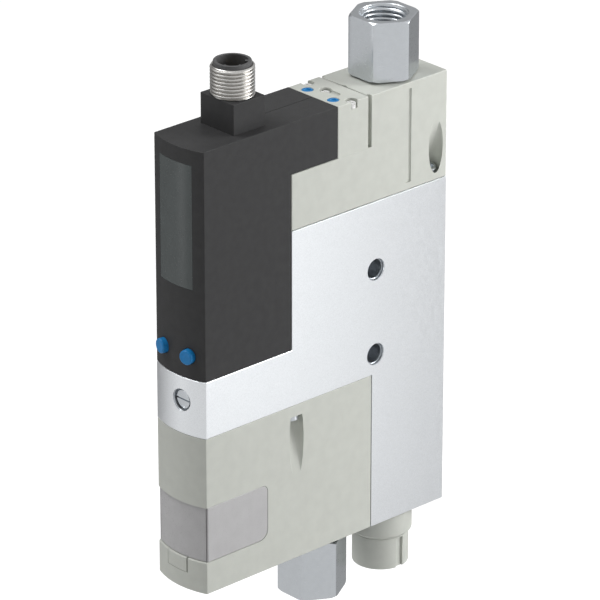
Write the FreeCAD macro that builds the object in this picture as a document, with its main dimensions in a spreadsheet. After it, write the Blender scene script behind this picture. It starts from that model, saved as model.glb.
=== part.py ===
import FreeCAD, Part
import math
import os
import re
import Sketcher

# Compact vacuum generator: an aluminium block with a jet pump in it, plastic housings above and
# below, a switch housing with display and two keys at the front, and screw-in ports on both ends.
# X is the width, the display faces -Y and Z points up. The lengths below count from the front
# corners (Y) and from the underside (Z); place() then puts the origin between the mounting holes.
# OVER is how far a cutting tool runs past the face that it opens. Screws and pins have few sides.

SIZES = [
    # Outline of the stack
    ("width", 20.0), ("front_radius", 25.0), ("depth", 88.9), ("height", 130.2),
    ("rear_width", 27.6), ("lower_height", 46.8), ("band_height", 16.8), ("switch_depth", 31.3),
    ("rear_height", 31.55), ("arm_thickness", 15.1), ("valve_length", 11.4), ("valve_back", 14.7),
    ("valve_gap", 0.15), ("housing_gap", 0.25), ("side_inset", 0.1),
    ("metal_edge", 0.3), ("plastic_edge", 0.35),
    # Mounting holes through the block, each lined with a steel sleeve
    ("mount_back", 26.4), ("mount_up", 18.8), ("mount_pitch", 25.5),
    ("sleeve_radius", 3.0), ("sleeve_bore", 2.6), ("sleeve_recess", 1.0),
    # Jet pump in the block, on the axis of the supply port and the silencer
    ("port_back", 14.7), ("pump_bore", 4.6), ("pump_throat", 4.0), ("cartridge_gap", 0.05),
    ("suction_below", 3.0), ("receiver_throat", 10.0), ("receiver_jet", 1.3), ("receiver_mouth", 3.4),
    ("suction_length", 8.0), ("suction_bore", 2.5), ("nozzle_length", 14.0), ("nozzle_tip", 3.0),
    ("nozzle_tip_radius", 2.4), ("jet_radius", 0.8), ("jet_mouth", 3.2), ("jet_taper", 3.0),
    # Ports: hexagon 17 across flats with a female G 1/4 thread, drawn at its minor diameter
    ("hex_radius", 9.98), ("hex_crown", 9.3), ("hex_height", 17.0), ("hex_rise", 0.4),
    ("port_collar", 0.8), ("collar_radius", 7.2), ("spigot_radius", 6.5), ("spigot_length", 13.0),
    ("spigot_gap", 0.1), ("thread_minor", 5.72), ("thread_length", 12.0),
    ("port_bore", 4.0), ("vacuum_back", 13.4), ("air_bore", 3.2),
    # Silencer
    ("exhaust_collar", 9.05), ("exhaust_collar_height", 8.0), ("exhaust_cone", 1.3),
    ("exhaust_radius", 7.9), ("exhaust_height", 17.7), ("exhaust_bore", 6.2), ("exhaust_roof", 2.2),
    ("exhaust_slot", 2.5), ("exhaust_slot_depth", 0.8), ("exhaust_spigot", 6.4),
    ("exhaust_spigot_height", 8.0), ("silencer_radius", 6.1), ("silencer_recess", 0.6),
    ("silencer_bore", 2.6), ("silencer_cap", 2.0),
    # Throttle screw in the front of the block
    ("throttle_x", 2.2), ("throttle_up", 9.85), ("throttle_mouth", 3.1), ("throttle_mouth_end", 1.2),
    ("throttle_head", 2.6), ("throttle_face", -1.3), ("throttle_head_end", 6.2),
    ("throttle_shank", 2.0), ("throttle_end", 14.0), ("throttle_room", 2.0),
    ("screw_slot", 0.45), ("screw_slot_depth", 0.8), ("running_gap", 0.05),
    # Filter cover in the lower housing, its element and the release tab below it
    ("cover_bottom", 9.55), ("cover_height", 15.95), ("cover_depth", 22.4), ("cover_corner", 3.0),
    ("cover_recess", 0.45), ("cover_wall", 1.3), ("cover_front", 0.65), ("cover_gap", 0.08),
    ("filter_radius", 5.2), ("filter_bore", 2.8), ("filter_length", 19.0), ("filter_end", 2.0),
    ("tab_left", -4.2), ("tab_right", 3.7), ("tab_height", 4.65), ("tab_depth", 0.5),
    ("tab_slot", 0.5), ("tab_slot_depth", 1.3), ("tab_groove", 0.25), ("tab_side_depth", 0.8),
    # Non-return valve between the filter and the jet pump
    ("valve_drop", 7.8), ("check_bore", 4.5), ("check_length", 11.3), ("check_port", 2.5),
    ("poppet_radius", 3.6), ("poppet_thickness", 1.5), ("check_spring_radius", 2.2),
    ("check_spring_wire", 0.3), ("check_spring_turns", 4.0),
    # Switch housing with display, board and keys
    ("shell_wall", 1.3), ("shell_front", 0.8), ("display_half", 6.5), ("display_length", 35.9),
    ("display_drop", 4.4), ("display_thickness", 1.2), ("pane_gap", 0.05), ("module_front", 1.0),
    ("module_gap", 0.2), ("board_front", 6.0), ("board_thickness", 1.2), ("board_gap", 0.2),
    ("board_up", 3.4), ("board_drop", 3.2), ("chip_half", 4.0), ("chip_up", 31.0),
    ("chip_height", 1.5), ("sensor_half", 3.5), ("sensor_up", 11.0), ("sensor_height", 5.0),
    ("seam_width", 0.3), ("seam_depth", 0.3),
    ("key_angle", 11.5), ("key_up", 7.0), ("key_radius", 2.2), ("key_rise", 1.6), ("key_edge", 0.4),
    ("key_gap", 0.15), ("key_collar", 2.8), ("key_collar_top", 3.2), ("key_collar_bottom", 4.0),
    ("key_switch_x", 3.9), ("key_switch_half", 2.2),
    ("key_switch_front", 3.6), ("key_plunger", 0.9), ("key_plunger_rise", 0.2),
    # Pilot valves side by side: coils in the arm, seats and manual overrides in the valve block
    ("coil_gap", 0.3), ("coil_clear", 0.1), ("coil_drop", 7.6), ("coil_length", 17.5), ("coil_end", 1.6),
    ("coil_floor", 1.0), ("spring_room", 3.0), ("armature_reach", 0.5), ("armature_radius", 1.5),
    ("armature_gap", 0.06), ("seat_gap", 0.05), ("pilot_spring_radius", 1.1),
    ("pilot_spring_wire", 0.2), ("pilot_spring_turns", 4.0),
    ("override_x", 5.1), ("override_in", 2.65), ("override_radius", 1.62), ("override_gap", 0.06),
    ("override_up", 2.0), ("override_travel", 0.8), ("override_sink", 0.1),
    ("pocket_in", 1.4), ("pocket_middle", -1.6), ("pocket_back", 5.4), ("pocket_radius", 1.75),
    ("pocket_depth", 2.1), ("slot_end", 2.8), ("slot_half", 1.1), ("slot_depth", 0.5),
    ("head_radius", 1.25), ("head_sink", 0.75), ("valve_shank", 0.8), ("valve_screw_grip", 7.1),
    # Round plug: flange, metal thread M12 and insert with five pins
    ("plug_y", 19.1), ("plug_half_x", 6.6), ("plug_half_y", 5.62), ("plug_flange", 8.8),
    ("plug_neck", 5.0), ("plug_neck_end", 2.5), ("plug_radius", 6.0), ("plug_height", 8.5),
    ("plug_bore", 5.35), ("plug_insert", 5.2), ("plug_insert_rise", 1.05), ("plug_cup", 4.3),
    ("plug_floor", 2.0), ("plug_sink", 3.0), ("pin_circle", 2.5), ("pin_radius", 0.5),
    ("pin_top", 7.0), ("pin_tail", 3.0), ("key_way", 0.9), ("key_way_depth", 0.6),
    ("key_way_root", 0.3), ("key_way_top", 8.3),
    # Sloping housing screws, reached through scoops in the side walls
    ("scoop_radius", 2.65), ("scoop_length", 24.0), ("low_scoop_angle", 14.0), ("low_scoop_y", 33.0),
    ("low_scoop_drop", 3.8), ("low_scoop_in", 1.62), ("low_screw_in", 2.3), ("top_scoop_angle", 19.5),
    ("top_scoop_back", 4.1), ("top_scoop_up", 2.35), ("top_scoop_in", 2.74), ("top_screw_in", 2.74),
    ("screw_head", 1.9), ("screw_head_height", 1.4), ("screw_shank", 1.2), ("screw_length", 10.0),
    ("screw_room", 0.5),
    # Grooves in the grey housing: clip groove in the side walls and parting line of the valve block
    ("clip_back", 14.1), ("clip_width", 1.1), ("clip_up", 2.25), ("clip_drop", 1.8),
    ("clip_depth", 0.5), ("clip_foot", 1.6), ("parting_width", 1.1), ("parting_depth", 1.2),
    ("parting_notch", 0.35),
]

# Places that follow from the sizes
PLACES = {
    "step_height": "lower_height + band_height", "block_height": "height - rear_height",
    "arm_height": "height - arm_thickness", "port_y": "depth - port_back",
    "valve_depth": "port_y - valve_back", "arm_depth": "valve_depth - valve_length",
    "lower_depth": "depth - rear_width", "mount_y": "depth - mount_back",
    "mount_z": "lower_height + mount_up", "vacuum_y": "lower_depth - vacuum_back",
    "throttle_z": "lower_height + throttle_up", "valve_z": "lower_height - valve_drop",
    "receiver_top": "valve_z - suction_below", "check_seat": "lower_depth - check_length",
    "cover_top": "cover_bottom + cover_height", "tab_bottom": "cover_bottom - tab_height",
    "display_top": "height - display_drop", "display_bottom": "display_top - display_length",
    "board_half": "width / 2 - side_inset - shell_wall - board_gap",
    "board_bottom": "step_height + board_up", "board_top": "height - board_drop",
    "chip_z": "board_bottom + chip_up", "sensor_z": "board_bottom + sensor_up",
    "key_z": "step_height + key_up", "coil_x": "coil_gap + coil_radius",
    "coil_radius": "(width / 2 - side_inset - shell_wall - coil_clear - coil_gap) / 2",
    "coil_z": "height - coil_drop", "coil_back": "arm_depth - coil_end",
    "coil_front": "coil_back - coil_length", "plug_nose": "coil_front + coil_floor",
    "armature_front": "plug_nose + spring_room", "armature_back": "arm_depth + armature_reach",
    "override_y": "arm_depth + override_in", "override_bottom": "coil_z + override_up",
    "pocket_side": "width / 2 - pocket_in", "pocket_y": "valve_depth - pocket_back",
    "valve_screw_end": "arm_height - valve_screw_grip", "low_scoop_z": "lower_height - low_scoop_drop",
    "top_scoop_y": "depth - top_scoop_back", "top_scoop_z": "block_height + top_scoop_up",
    "clip_y": "depth - clip_back", "clip_bottom": "block_height + clip_up", "clip_top": "height - clip_drop",
}

doc = FreeCAD.newDocument("vacuum_generator")
sheet = doc.addObject("Spreadsheet::Sheet", "Sizes")
for row, (alias, value) in enumerate(SIZES, 1):
    sheet.set(f"A{row}", alias)
    sheet.set(f"B{row}", str(value))
    sheet.setAlias(f"B{row}", alias)
doc.recompute()

ALIASES = {alias for alias, _ in SIZES}
X, Y, Z = FreeCAD.Vector(1, 0, 0), FreeCAD.Vector(0, 1, 0), FreeCAD.Vector(0, 0, 1)
TURN_TO = {"z": FreeCAD.Rotation(), "x": FreeCAD.Rotation(Y, 90), "y": FreeCAD.Rotation(X, -90)}
ARC_CENTRE = "sqrt(front_radius * front_radius - width * width / 4)"
APEX = f"({ARC_CENTRE} - front_radius)"
FRONT = f"(-OVER - (front_radius - {ARC_CENTRE}))"
OVER = 1.0
TOUCH = 1e-3
FASTENER_SIDES = 12
FACETS_PER_TURN = 6
SUBPARTS = []


def formula(text):
    """Write sizes and places in a formula the way the document refers to them."""
    def known(match):
        word = match[0]
        if word in PLACES:
            return f"({formula(PLACES[word])})"
        return f"Sizes.{word}" if word in ALIASES else word
    return re.sub(r"[a-z][a-z_]*", known, str(text).replace("OVER", str(OVER)))


def bind(thing, **formulas):
    for path, text in formulas.items():
        thing.setExpression(path.replace("__", "."), formula(text))


def move(thing, x=0, y=0, z=0):
    bind(thing, Placement__Base__x=x, Placement__Base__y=y, Placement__Base__z=z)
    return thing


def place(thing, label, x=0, y=0, z=0):
    """Finish a sub-part: name it and put it in the frame of the mounting holes."""
    thing.Label = label
    SUBPARTS.append(thing)
    return move(thing, x, f"{y} - mount_y", f"{z} - mount_z")


def box(x, y, z):
    """Box between the two formulas given for each direction."""
    made = doc.addObject("Part::Box", "Box")
    bind(made, Length=f"({x[1]}) - ({x[0]})", Width=f"({y[1]}) - ({y[0]})", Height=f"({z[1]}) - ({z[0]})")
    return move(made, x[0], y[0], z[0])


def across(half):
    return f"-({half})", half


def bar(radius, length, sides=0):
    """Round bar along Z or, where sides are given, a prism of that many sides."""
    made = doc.addObject("Part::Prism" if sides else "Part::Cylinder", "Bar")
    if sides:
        made.Polygon = sides
        bind(made, Circumradius=radius, Height=length)
    else:
        bind(made, Radius=radius, Height=length)
    return made


def rod(axis, radius, start, end, first=0, second=0, sides=0):
    """Bar along one axis, from start to end, at its place in the other two directions."""
    made = bar(radius, f"({end}) - ({start})", sides)
    made.Placement = FreeCAD.Placement(FreeCAD.Vector(), TURN_TO[axis])
    where = {"x": (start, first, second), "y": (first, start, second), "z": (first, second, start)}
    return move(made, *where[axis])


def fuse(*things):
    made = doc.addObject("Part::MultiFuse", "Fusion")
    made.Shapes = list(things)
    return made


def cut(base, *tools):
    made = doc.addObject("Part::Cut", "Cut")
    made.Base = base
    made.Tool = tools[0] if len(tools) == 1 else fuse(*tools)
    return made


def common(base, tool):
    made = doc.addObject("Part::Common", "Common")
    made.Base, made.Tool = base, tool
    return made


def outline(body, plane, points):
    """Closed sketch on one of the body's own planes, each corner held by two formulas."""
    sketch = body.newObject("Sketcher::SketchObject", "Outline")
    support = [feature for feature in body.Origin.OriginFeatures if feature.Role == plane]
    sketch.AttachmentSupport = (support[0], [""])
    sketch.MapMode = "FlatFace"
    corners = [FreeCAD.Vector(*[evaluate(text) for text in point], 0) for point in points]
    for start, end in zip(corners, corners[1:] + corners[:1]):
        sketch.addGeometry(Part.LineSegment(start, end))
    for i, (point, corner) in enumerate(zip(points, corners)):
        sketch.addConstraint(Sketcher.Constraint("Coincident", i, 2, (i + 1) % len(points), 1))
        for kind, text, length in zip(("DistanceX", "DistanceY"), point, corner):
            number = sketch.addConstraint(Sketcher.Constraint(kind, i, 1, length))
            sketch.setExpression(f"Constraints[{number}]", formula(text))
    return sketch


def evaluate(text):
    value = doc.getObject("Sizes").evalExpression(formula(text))
    return float(getattr(value, "Value", value))


def slab(half, points):
    """Side profile in Y and Z, padded both ways from the middle plane."""
    body = doc.addObject("PartDesign::Body", "Slab")
    pad = body.newObject("PartDesign::Pad", "Pad")
    pad.Profile = outline(body, "YZ_Plane", points)
    pad.SideType = "Symmetric"
    bind(pad, Length=f"2 * ({half})")
    return body


def turned(points, axis="z"):
    """Turned piece: half section as radius and height, about its own Z or Y axis."""
    body = doc.addObject("PartDesign::Body", "Turned")
    feature = body.newObject("PartDesign::Revolution", "Revolution")
    feature.Profile = outline(body, "XZ_Plane" if axis == "z" else "XY_Plane", points)
    feature.ReferenceAxis = (feature.Profile[0], ["V_Axis"])
    feature.Angle = 360
    return body


def tube(outer, inner, bottom, top, axis="z"):
    """Plain bush or, with no bore, a bar, along its own Z or Y axis; an X one is turned over."""
    body = turned([(inner, bottom), (outer, bottom), (outer, top), (inner, top)], "y" if axis == "y" else "z")
    if axis == "x":
        body.Placement = FreeCAD.Placement(FreeCAD.Vector(), TURN_TO[axis])
    return body


def spring(radius, wire, turns, length):
    """Compression spring along +Y from its own origin, its wire drawn in short straight facets."""
    radius, wire, turns, length = (evaluate(text) for text in (radius, wire, turns, length))
    count = round(turns * FACETS_PER_TURN)
    rings = []
    for i in range(count + 1):
        angle = 2 * math.pi * i / FACETS_PER_TURN
        rise = wire + (length - 2 * wire) * i / count
        section = ((radius - wire, rise), (radius, rise - wire), (radius + wire, rise), (radius, rise + wire))
        rings.append([FreeCAD.Vector(r * math.cos(angle), y, r * math.sin(angle)) for r, y in section])
    triangles = [(rings[end][0], rings[end][i], rings[end][i + 1]) for end in (0, -1) for i in (1, 2)]
    for here, there in zip(rings, rings[1:]):
        for i in range(4):
            j = (i + 1) % 4
            triangles += [(here[i], here[j], there[j]), (here[i], there[j], there[i])]
    faces = [Part.Face(Part.makePolygon([*corners, corners[0]])) for corners in triangles]
    made = doc.addObject("Part::Feature", "Spring")
    made.Shape = Part.Solid(Part.Shell(faces))
    if made.Shape.Volume < 0:
        made.Shape = made.Shape.reversed()
    return made


def front_form(half, recess, edge):
    """Plan of the stack: straight sides, bowed front and rounded front edges, over the full height."""
    body = doc.addObject("PartDesign::Body", "FrontForm")
    sketch = body.newObject("Sketcher::SketchObject", "Plan")
    sketch.AttachmentSupport = ([f for f in body.Origin.OriginFeatures if f.Role == "XY_Plane"][0], [""])
    sketch.MapMode = "FlatFace"
    side, radius = evaluate(half), evaluate(f"front_radius - ({recess})")
    centre, back = evaluate(ARC_CENTRE), evaluate("depth + OVER")
    corner = centre - (radius**2 - side**2) ** 0.5
    left, right = FreeCAD.Vector(-side, corner, 0), FreeCAD.Vector(side, corner, 0)
    rear_left, rear_right = FreeCAD.Vector(-side, back, 0), FreeCAD.Vector(side, back, 0)
    sketch.addGeometry(Part.Arc(left, FreeCAD.Vector(0, centre - radius, 0), right))
    for start, end in ((right, rear_right), (rear_right, rear_left), (rear_left, left)):
        sketch.addGeometry(Part.LineSegment(start, end))
    for first, second in (((0, 2), (1, 1)), ((1, 2), (2, 1)), ((2, 2), (3, 1)), ((3, 2), (0, 1))):
        sketch.addConstraint(Sketcher.Constraint("Coincident", *first, *second))
    held = [
        (Sketcher.Constraint("Radius", 0, radius), f"front_radius - ({recess})"),
        (Sketcher.Constraint("DistanceX", 0, 3, 0.0), 0),
        (Sketcher.Constraint("DistanceY", 0, 3, centre), ARC_CENTRE),
        (Sketcher.Constraint("DistanceX", 1, 1, side), half),
        (Sketcher.Constraint("DistanceX", 2, 1, side), half),
        (Sketcher.Constraint("DistanceX", 2, 2, -side), f"-({half})"),
        (Sketcher.Constraint("DistanceX", 0, 1, -side), f"-({half})"),
        (Sketcher.Constraint("DistanceY", 2, 1, back), "depth + OVER"),
        (Sketcher.Constraint("DistanceY", 2, 2, back), "depth + OVER"),
    ]
    for constraint, text in held:
        number = sketch.addConstraint(constraint)
        sketch.setExpression(f"Constraints[{number}]", formula(text))
    pad = body.newObject("PartDesign::Pad", "Pad")
    pad.Profile = sketch
    bind(pad, Length="height")
    doc.recompute()
    height = pad.Shape.BoundBox.ZLength
    fillet = body.newObject("PartDesign::Fillet", "Fillet")
    fillet.Base = (pad, [
        f"Edge{i}" for i, e in enumerate(pad.Shape.Edges, 1)
        if abs(e.BoundBox.ZLength - height) < TOUCH and abs(e.BoundBox.YMin - corner) < TOUCH
    ])
    bind(fillet, Radius=edge)
    return body


PLASTIC_HALF = "width / 2 - side_inset"
SCREW_PLACES = ("pocket_side", "pocket_middle", "-pocket_side")
PINS = ((0, 0), ("pin_circle", 0), ("-pin_circle", 0), (0, "pin_circle"), (0, "-pin_circle"))
metal_form = front_form("width / 2", "0", "metal_edge")
plastic_form = front_form(PLASTIC_HALF, "0", "plastic_edge")
cover_form = front_form(PLASTIC_HALF, "cover_recess", "metal_edge")


def hole_heights():
    return "mount_z - mount_pitch / 2", "mount_z + mount_pitch / 2"


def manifold_body():
    blank = slab("width / 2", [
        (FRONT, "lower_height"), ("lower_depth", "lower_height"), ("lower_depth", 0),
        ("depth", 0), ("depth", "block_height"), ("switch_depth", "block_height"),
        ("switch_depth", "step_height"), (FRONT, "step_height"),
    ])
    seat = "receiver_top + suction_length"
    throttle_bore = "throttle_head + running_gap"
    tools = [rod("x", "sleeve_radius", "-width", "width", "mount_y", z) for z in hole_heights()]
    tools += [
        rod("z", "pump_bore", seat, "block_height + OVER", 0, "port_y"),
        rod("z", "pump_throat", "receiver_top - OVER", f"{seat} + OVER", 0, "port_y"),
        rod("z", "pump_bore", 0, "receiver_top", 0, "port_y"),
        rod("z", "exhaust_spigot + spigot_gap", "-OVER", "exhaust_spigot_height", 0, "port_y"),
        rod("y", "suction_bore", "lower_depth - OVER", "port_y", 0, "valve_z"),
        rod("y", "throttle_mouth", FRONT, "throttle_mouth_end", "throttle_x", "throttle_z"),
        rod("y", throttle_bore, 0, "throttle_end + throttle_room", "throttle_x", "throttle_z"),
    ]
    tools += [screw_hole(side, which) for side in ("", "-") for which in ("top", "low")]
    place(cut(common(blank, metal_form), *tools), "manifold_body")


def sloping_rod(radius, side, which, start, end, part="screw", sides=0):
    """Bar along a sloping housing screw or its scoop, measured from the seat of the head."""
    made = bar(radius, f"({end}) - ({start})", sides)
    down = which == "top"
    angle = f"{which}_scoop_angle"
    lean = angle if (side == "-") != down else f"-{angle}"
    made.Placement = FreeCAD.Placement(FreeCAD.Vector(), FreeCAD.Rotation(Y, 1))
    bind(made, Placement__Rotation__Angle=f"180 + {lean}" if down else lean)
    inward = f"sin({angle}) * ({start})"
    along = f"cos({angle}) * ({start})"
    seat = f"({which}_{part}_in - {which}_scoop_in) * tan({angle})"
    rise = f"{which}_scoop_z - {along} + {seat}" if down else f"{which}_scoop_z + {along} - {seat}"
    return move(made, f"{side}({PLASTIC_HALF} - {which}_{part}_in - {inward})", f"{which}_scoop_y", rise)


def screw_hole(side, which):
    end = "screw_length + screw_room"
    return sloping_rod("screw_shank", side, which, "-OVER", end, sides=FASTENER_SIDES)


def scoops(which):
    """Driver scoops in both side walls: a sloping bore that leaves through the wall."""
    return [sloping_rod("scoop_radius", side, which, "-scoop_length", 0, "scoop") for side in ("", "-")]


def housing_screws(which, label):
    made = []
    for side in ("", "-"):
        made.append(sloping_rod("screw_head", side, which, "-screw_head_height", 0, sides=FASTENER_SIDES))
        shank = "screw_shank - cartridge_gap"
        made.append(sloping_rod(shank, side, which, 0, "screw_length", sides=FASTENER_SIDES))
    place(fuse(*made), label)


def rear_housing():
    blank = slab(PLASTIC_HALF, [
        ("switch_depth", "block_height"), ("depth", "block_height"), ("depth", "height"),
        ("valve_depth + valve_gap", "height"), ("valve_depth + valve_gap", "arm_height"),
        ("switch_depth", "arm_height"),
    ])
    tools = scoops("top")
    groove_y = ("clip_y - clip_width / 2", "clip_y + clip_width / 2")
    foot_y = ("clip_y - clip_width / 2 - clip_foot", groove_y[1])
    for side in ("", "-"):
        tools.append(screw_hole(side, "top"))
        wall = wall_strip(side, "clip_depth")
        tools.append(box(wall, groove_y, ("clip_bottom", "clip_top")))
        tools.append(box(wall, foot_y, ("clip_bottom", "clip_bottom + clip_width")))
        parting = ("valve_depth", "valve_depth + parting_width")
        tools.append(box(wall_strip(side, "parting_depth"), parting, ("arm_height", "height + OVER")))
    bottom = "height - spigot_length - spigot_gap"
    tools += [
        rod("z", "parting_notch", "arm_height", "height + OVER", "parting_notch", "valve_depth + valve_gap"),
        rod("z", "spigot_radius + spigot_gap", bottom, "height + OVER", 0, "port_y"),
        rod("z", "port_bore", "block_height - OVER", "height", 0, "port_y"),
    ]
    tools += [valve_screw_hole(x, "valve_screw_end - screw_room", "arm_height + OVER") for x in SCREW_PLACES]
    place(cut(blank, *tools), "rear_housing")


def wall_strip(side, depth):
    """Range in X of a shallow groove in one side wall."""
    strip = f"{side}({PLASTIC_HALF} - {depth})", f"{side}width"
    return strip[::-1] if side else strip


def valve_block():
    blank = box(across(PLASTIC_HALF), ("arm_depth", "valve_depth"), ("arm_height", "height"))
    floor = "height - slot_depth"
    slot_y = ("pocket_y - slot_half", "pocket_y + slot_half")
    tools = [
        box((0, "slot_end"), slot_y, (floor, "height + OVER")),
        rod("z", "slot_half", floor, "height + OVER", "slot_end", "pocket_y"),
    ]
    for x in SCREW_PLACES:
        tools.append(rod("z", "pocket_radius", "height - pocket_depth", "height + OVER", x, "pocket_y"))
        tools.append(valve_screw_hole(x, "arm_height - OVER", "height"))
    for side in ("", "-"):
        x = f"{side}override_x"
        bore = "override_radius + override_gap"
        tools.append(rod("z", bore, "override_bottom - override_travel", "height + OVER", x, "override_y"))
        x = f"{side}coil_x"
        bore = "armature_radius + armature_gap"
        tools.append(rod("y", bore, "arm_depth - OVER", "armature_back + seat_gap", x, "coil_z"))
    place(cut(blank, *tools), "valve_block")


def valve_screw_hole(x, start, end):
    return rod("z", "valve_shank + cartridge_gap", start, end, x, "pocket_y", FASTENER_SIDES)


def valve_screws():
    made = []
    seat = "height - pocket_depth"
    top = "height - head_sink"
    slot_y = ("pocket_y - screw_slot / 2", "pocket_y + screw_slot / 2")
    for x in SCREW_PLACES:
        head = rod("z", "head_radius", seat, top, x, "pocket_y", FASTENER_SIDES)
        shank = rod("z", "valve_shank", "valve_screw_end", seat, x, "pocket_y", FASTENER_SIDES)
        drive_x = (f"{x} - head_radius - OVER", f"{x} + head_radius + OVER")
        drive = box(drive_x, slot_y, (f"{top} - screw_slot_depth", "height"))
        made.append(cut(fuse(head, shank), drive))
    place(fuse(*made), "valve_screws")


def lower_housing():
    blank = common(slab(PLASTIC_HALF, [
        (FRONT, 0), ("lower_depth", 0), ("lower_depth", "lower_height"), (FRONT, "lower_height"),
    ]), plastic_form)
    tools = [cover_blank(0), *scoops("low"), screw_hole("", "low"), screw_hole("-", "low")]
    filter_z = "(cover_bottom + cover_top) / 2"
    spigot_top = "spigot_length + spigot_gap"
    groove_z = "tab_bottom - tab_groove"
    above = "cover_bottom + OVER"
    tools += [
        rod("y", "check_bore", "check_seat", "lower_depth + OVER", 0, "valve_z"),
        rod("y", "check_port", "vacuum_y", "check_seat + OVER", 0, "valve_z"),
        rod("z", "spigot_radius + spigot_gap", "-OVER", spigot_top, 0, "vacuum_y"),
        rod("z", "air_bore", "spigot_length", "valve_z", 0, "vacuum_y"),
        rod("y", "check_port", "cover_depth - OVER", "vacuum_y", 0, filter_z),
        box(("tab_right", "tab_right + tab_slot"), (FRONT, f"{APEX} + tab_slot_depth"), (groove_z, above)),
        box(("tab_left", "tab_right"), (FRONT, f"{APEX} + tab_depth"), (groove_z, "tab_bottom")),
        box(("tab_left - tab_groove", "tab_left"), (FRONT, f"{APEX} + tab_side_depth"), (groove_z, above)),
    ]
    place(cut(blank, *tools), "lower_housing")


def cover_blank(gap):
    """Block that the filter cover fills in the lower housing, smaller all round by the gap."""
    back, bottom, top = f"cover_depth - {gap}", f"cover_bottom + {gap}", f"cover_top - {gap}"
    body = slab("width", [(FRONT, bottom), (back, bottom), (back, top), (FRONT, top)])
    doc.recompute()
    pad = body.Tip
    depth = pad.Shape.BoundBox.YMax
    fillet = body.newObject("PartDesign::Fillet", "Corners")
    fillet.Base = (pad, [
        f"Edge{i}" for i, e in enumerate(pad.Shape.Edges, 1)
        if e.BoundBox.XLength > e.BoundBox.ZLength and e.BoundBox.YMin > depth - TOUCH
    ])
    bind(fillet, Radius="cover_corner")
    return body


def filter_cover():
    cup = common(cover_blank("cover_gap"), cover_form)
    hollow_z = ("cover_bottom + cover_wall", "cover_top - cover_wall")
    hollow = box(across(f"{PLASTIC_HALF} - cover_wall"), ("cover_front", "cover_depth + OVER"), hollow_z)
    place(cut(cup, hollow), "filter_cover")
    floor = "filter_length - filter_end"
    element = turned([
        ("filter_bore", 0), ("filter_radius", 0), ("filter_radius", "filter_length"), (0, "filter_length"),
        (0, floor), ("filter_bore", floor),
    ])
    element.Placement = FreeCAD.Placement(FreeCAD.Vector(), FreeCAD.Rotation(X, 90))
    place(element, "filter_element", 0, "cover_depth - cover_gap", "(cover_bottom + cover_top) / 2")


def switch_housing():
    base, arm, back = "step_height + housing_gap", "arm_height + housing_gap", "switch_depth - housing_gap"
    blank = common(slab(PLASTIC_HALF, [
        (FRONT, base), (back, base), (back, arm), ("arm_depth", arm), ("arm_depth", "height"), (FRONT, "height"),
    ]), plastic_form)
    roof = "height - shell_wall"
    hollow = slab(f"{PLASTIC_HALF} - shell_wall", [
        ("shell_front", f"{base} + shell_wall"), (f"{back} - shell_wall", f"{base} + shell_wall"),
        (f"{back} - shell_wall", f"{arm} + shell_wall"), ("arm_depth + OVER", f"{arm} + shell_wall"),
        ("arm_depth + OVER", roof), ("shell_front", roof),
    ])
    seam_y = ("plug_y + plug_half_y", "arm_depth + OVER")
    tools = [
        hollow,
        box(across("display_half"), (FRONT, "shell_front + OVER"), ("display_bottom", "display_top")),
        rod("z", "plug_neck + spigot_gap", f"{roof} - OVER", "height + OVER", 0, "plug_y"),
        box(across("seam_width / 2"), seam_y, ("height - seam_depth", "height + OVER")),
    ]
    tools += [key_bore(side) for side in ("", "-")]
    place(cut(blank, *tools), "switch_housing")


def key_bore(side):
    """Round bore for a key, square to the bowed front."""
    bore = tube("key_radius + key_gap", 0, "-key_rise - OVER", "key_collar_top", "y")
    bore.Placement = FreeCAD.Placement(FreeCAD.Vector(), FreeCAD.Rotation(Z, 1))
    bind(bore, Placement__Rotation__Angle=f"{side}key_angle")
    return move(bore, *key_place(side))


def key_place(side):
    return f"{side}front_radius * sin(key_angle)", f"{ARC_CENTRE} - front_radius * cos(key_angle)", "key_z"


def button(side, label):
    body = turned([
        (0, "-key_rise"), ("key_radius - key_edge", "-key_rise"), ("key_radius", "key_edge - key_rise"),
        ("key_radius", "key_collar_top"), ("key_collar", "key_collar_top"), ("key_collar", "key_collar_bottom"),
        (0, "key_collar_bottom"),
    ], "y")
    body.Placement = FreeCAD.Placement(FreeCAD.Vector(), FreeCAD.Rotation(Z, 1))
    bind(body, Placement__Rotation__Angle=f"{side}key_angle")
    place(body, label, *key_place(side))


def display():
    half = "display_half - pane_gap"
    outer_z = ("display_bottom + pane_gap", "display_top - pane_gap")
    outer = rod("z", "front_radius", *outer_z, 0, ARC_CENTRE)
    inner = rod("z", "front_radius - display_thickness", "display_bottom", "display_top", 0, ARC_CENTRE)
    front = box(across(half), (FRONT, "display_thickness"), ("display_bottom", "display_top"))
    place(cut(common(outer, front), inner), "display_window")
    module_half = f"{half} - module_gap"
    bottom = "display_bottom + module_gap"
    module = box(across(module_half), ("module_front", "board_front"), (bottom, "display_top - module_gap"))
    place(module, "display_module", f"-({module_half})", "module_front", bottom)


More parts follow.
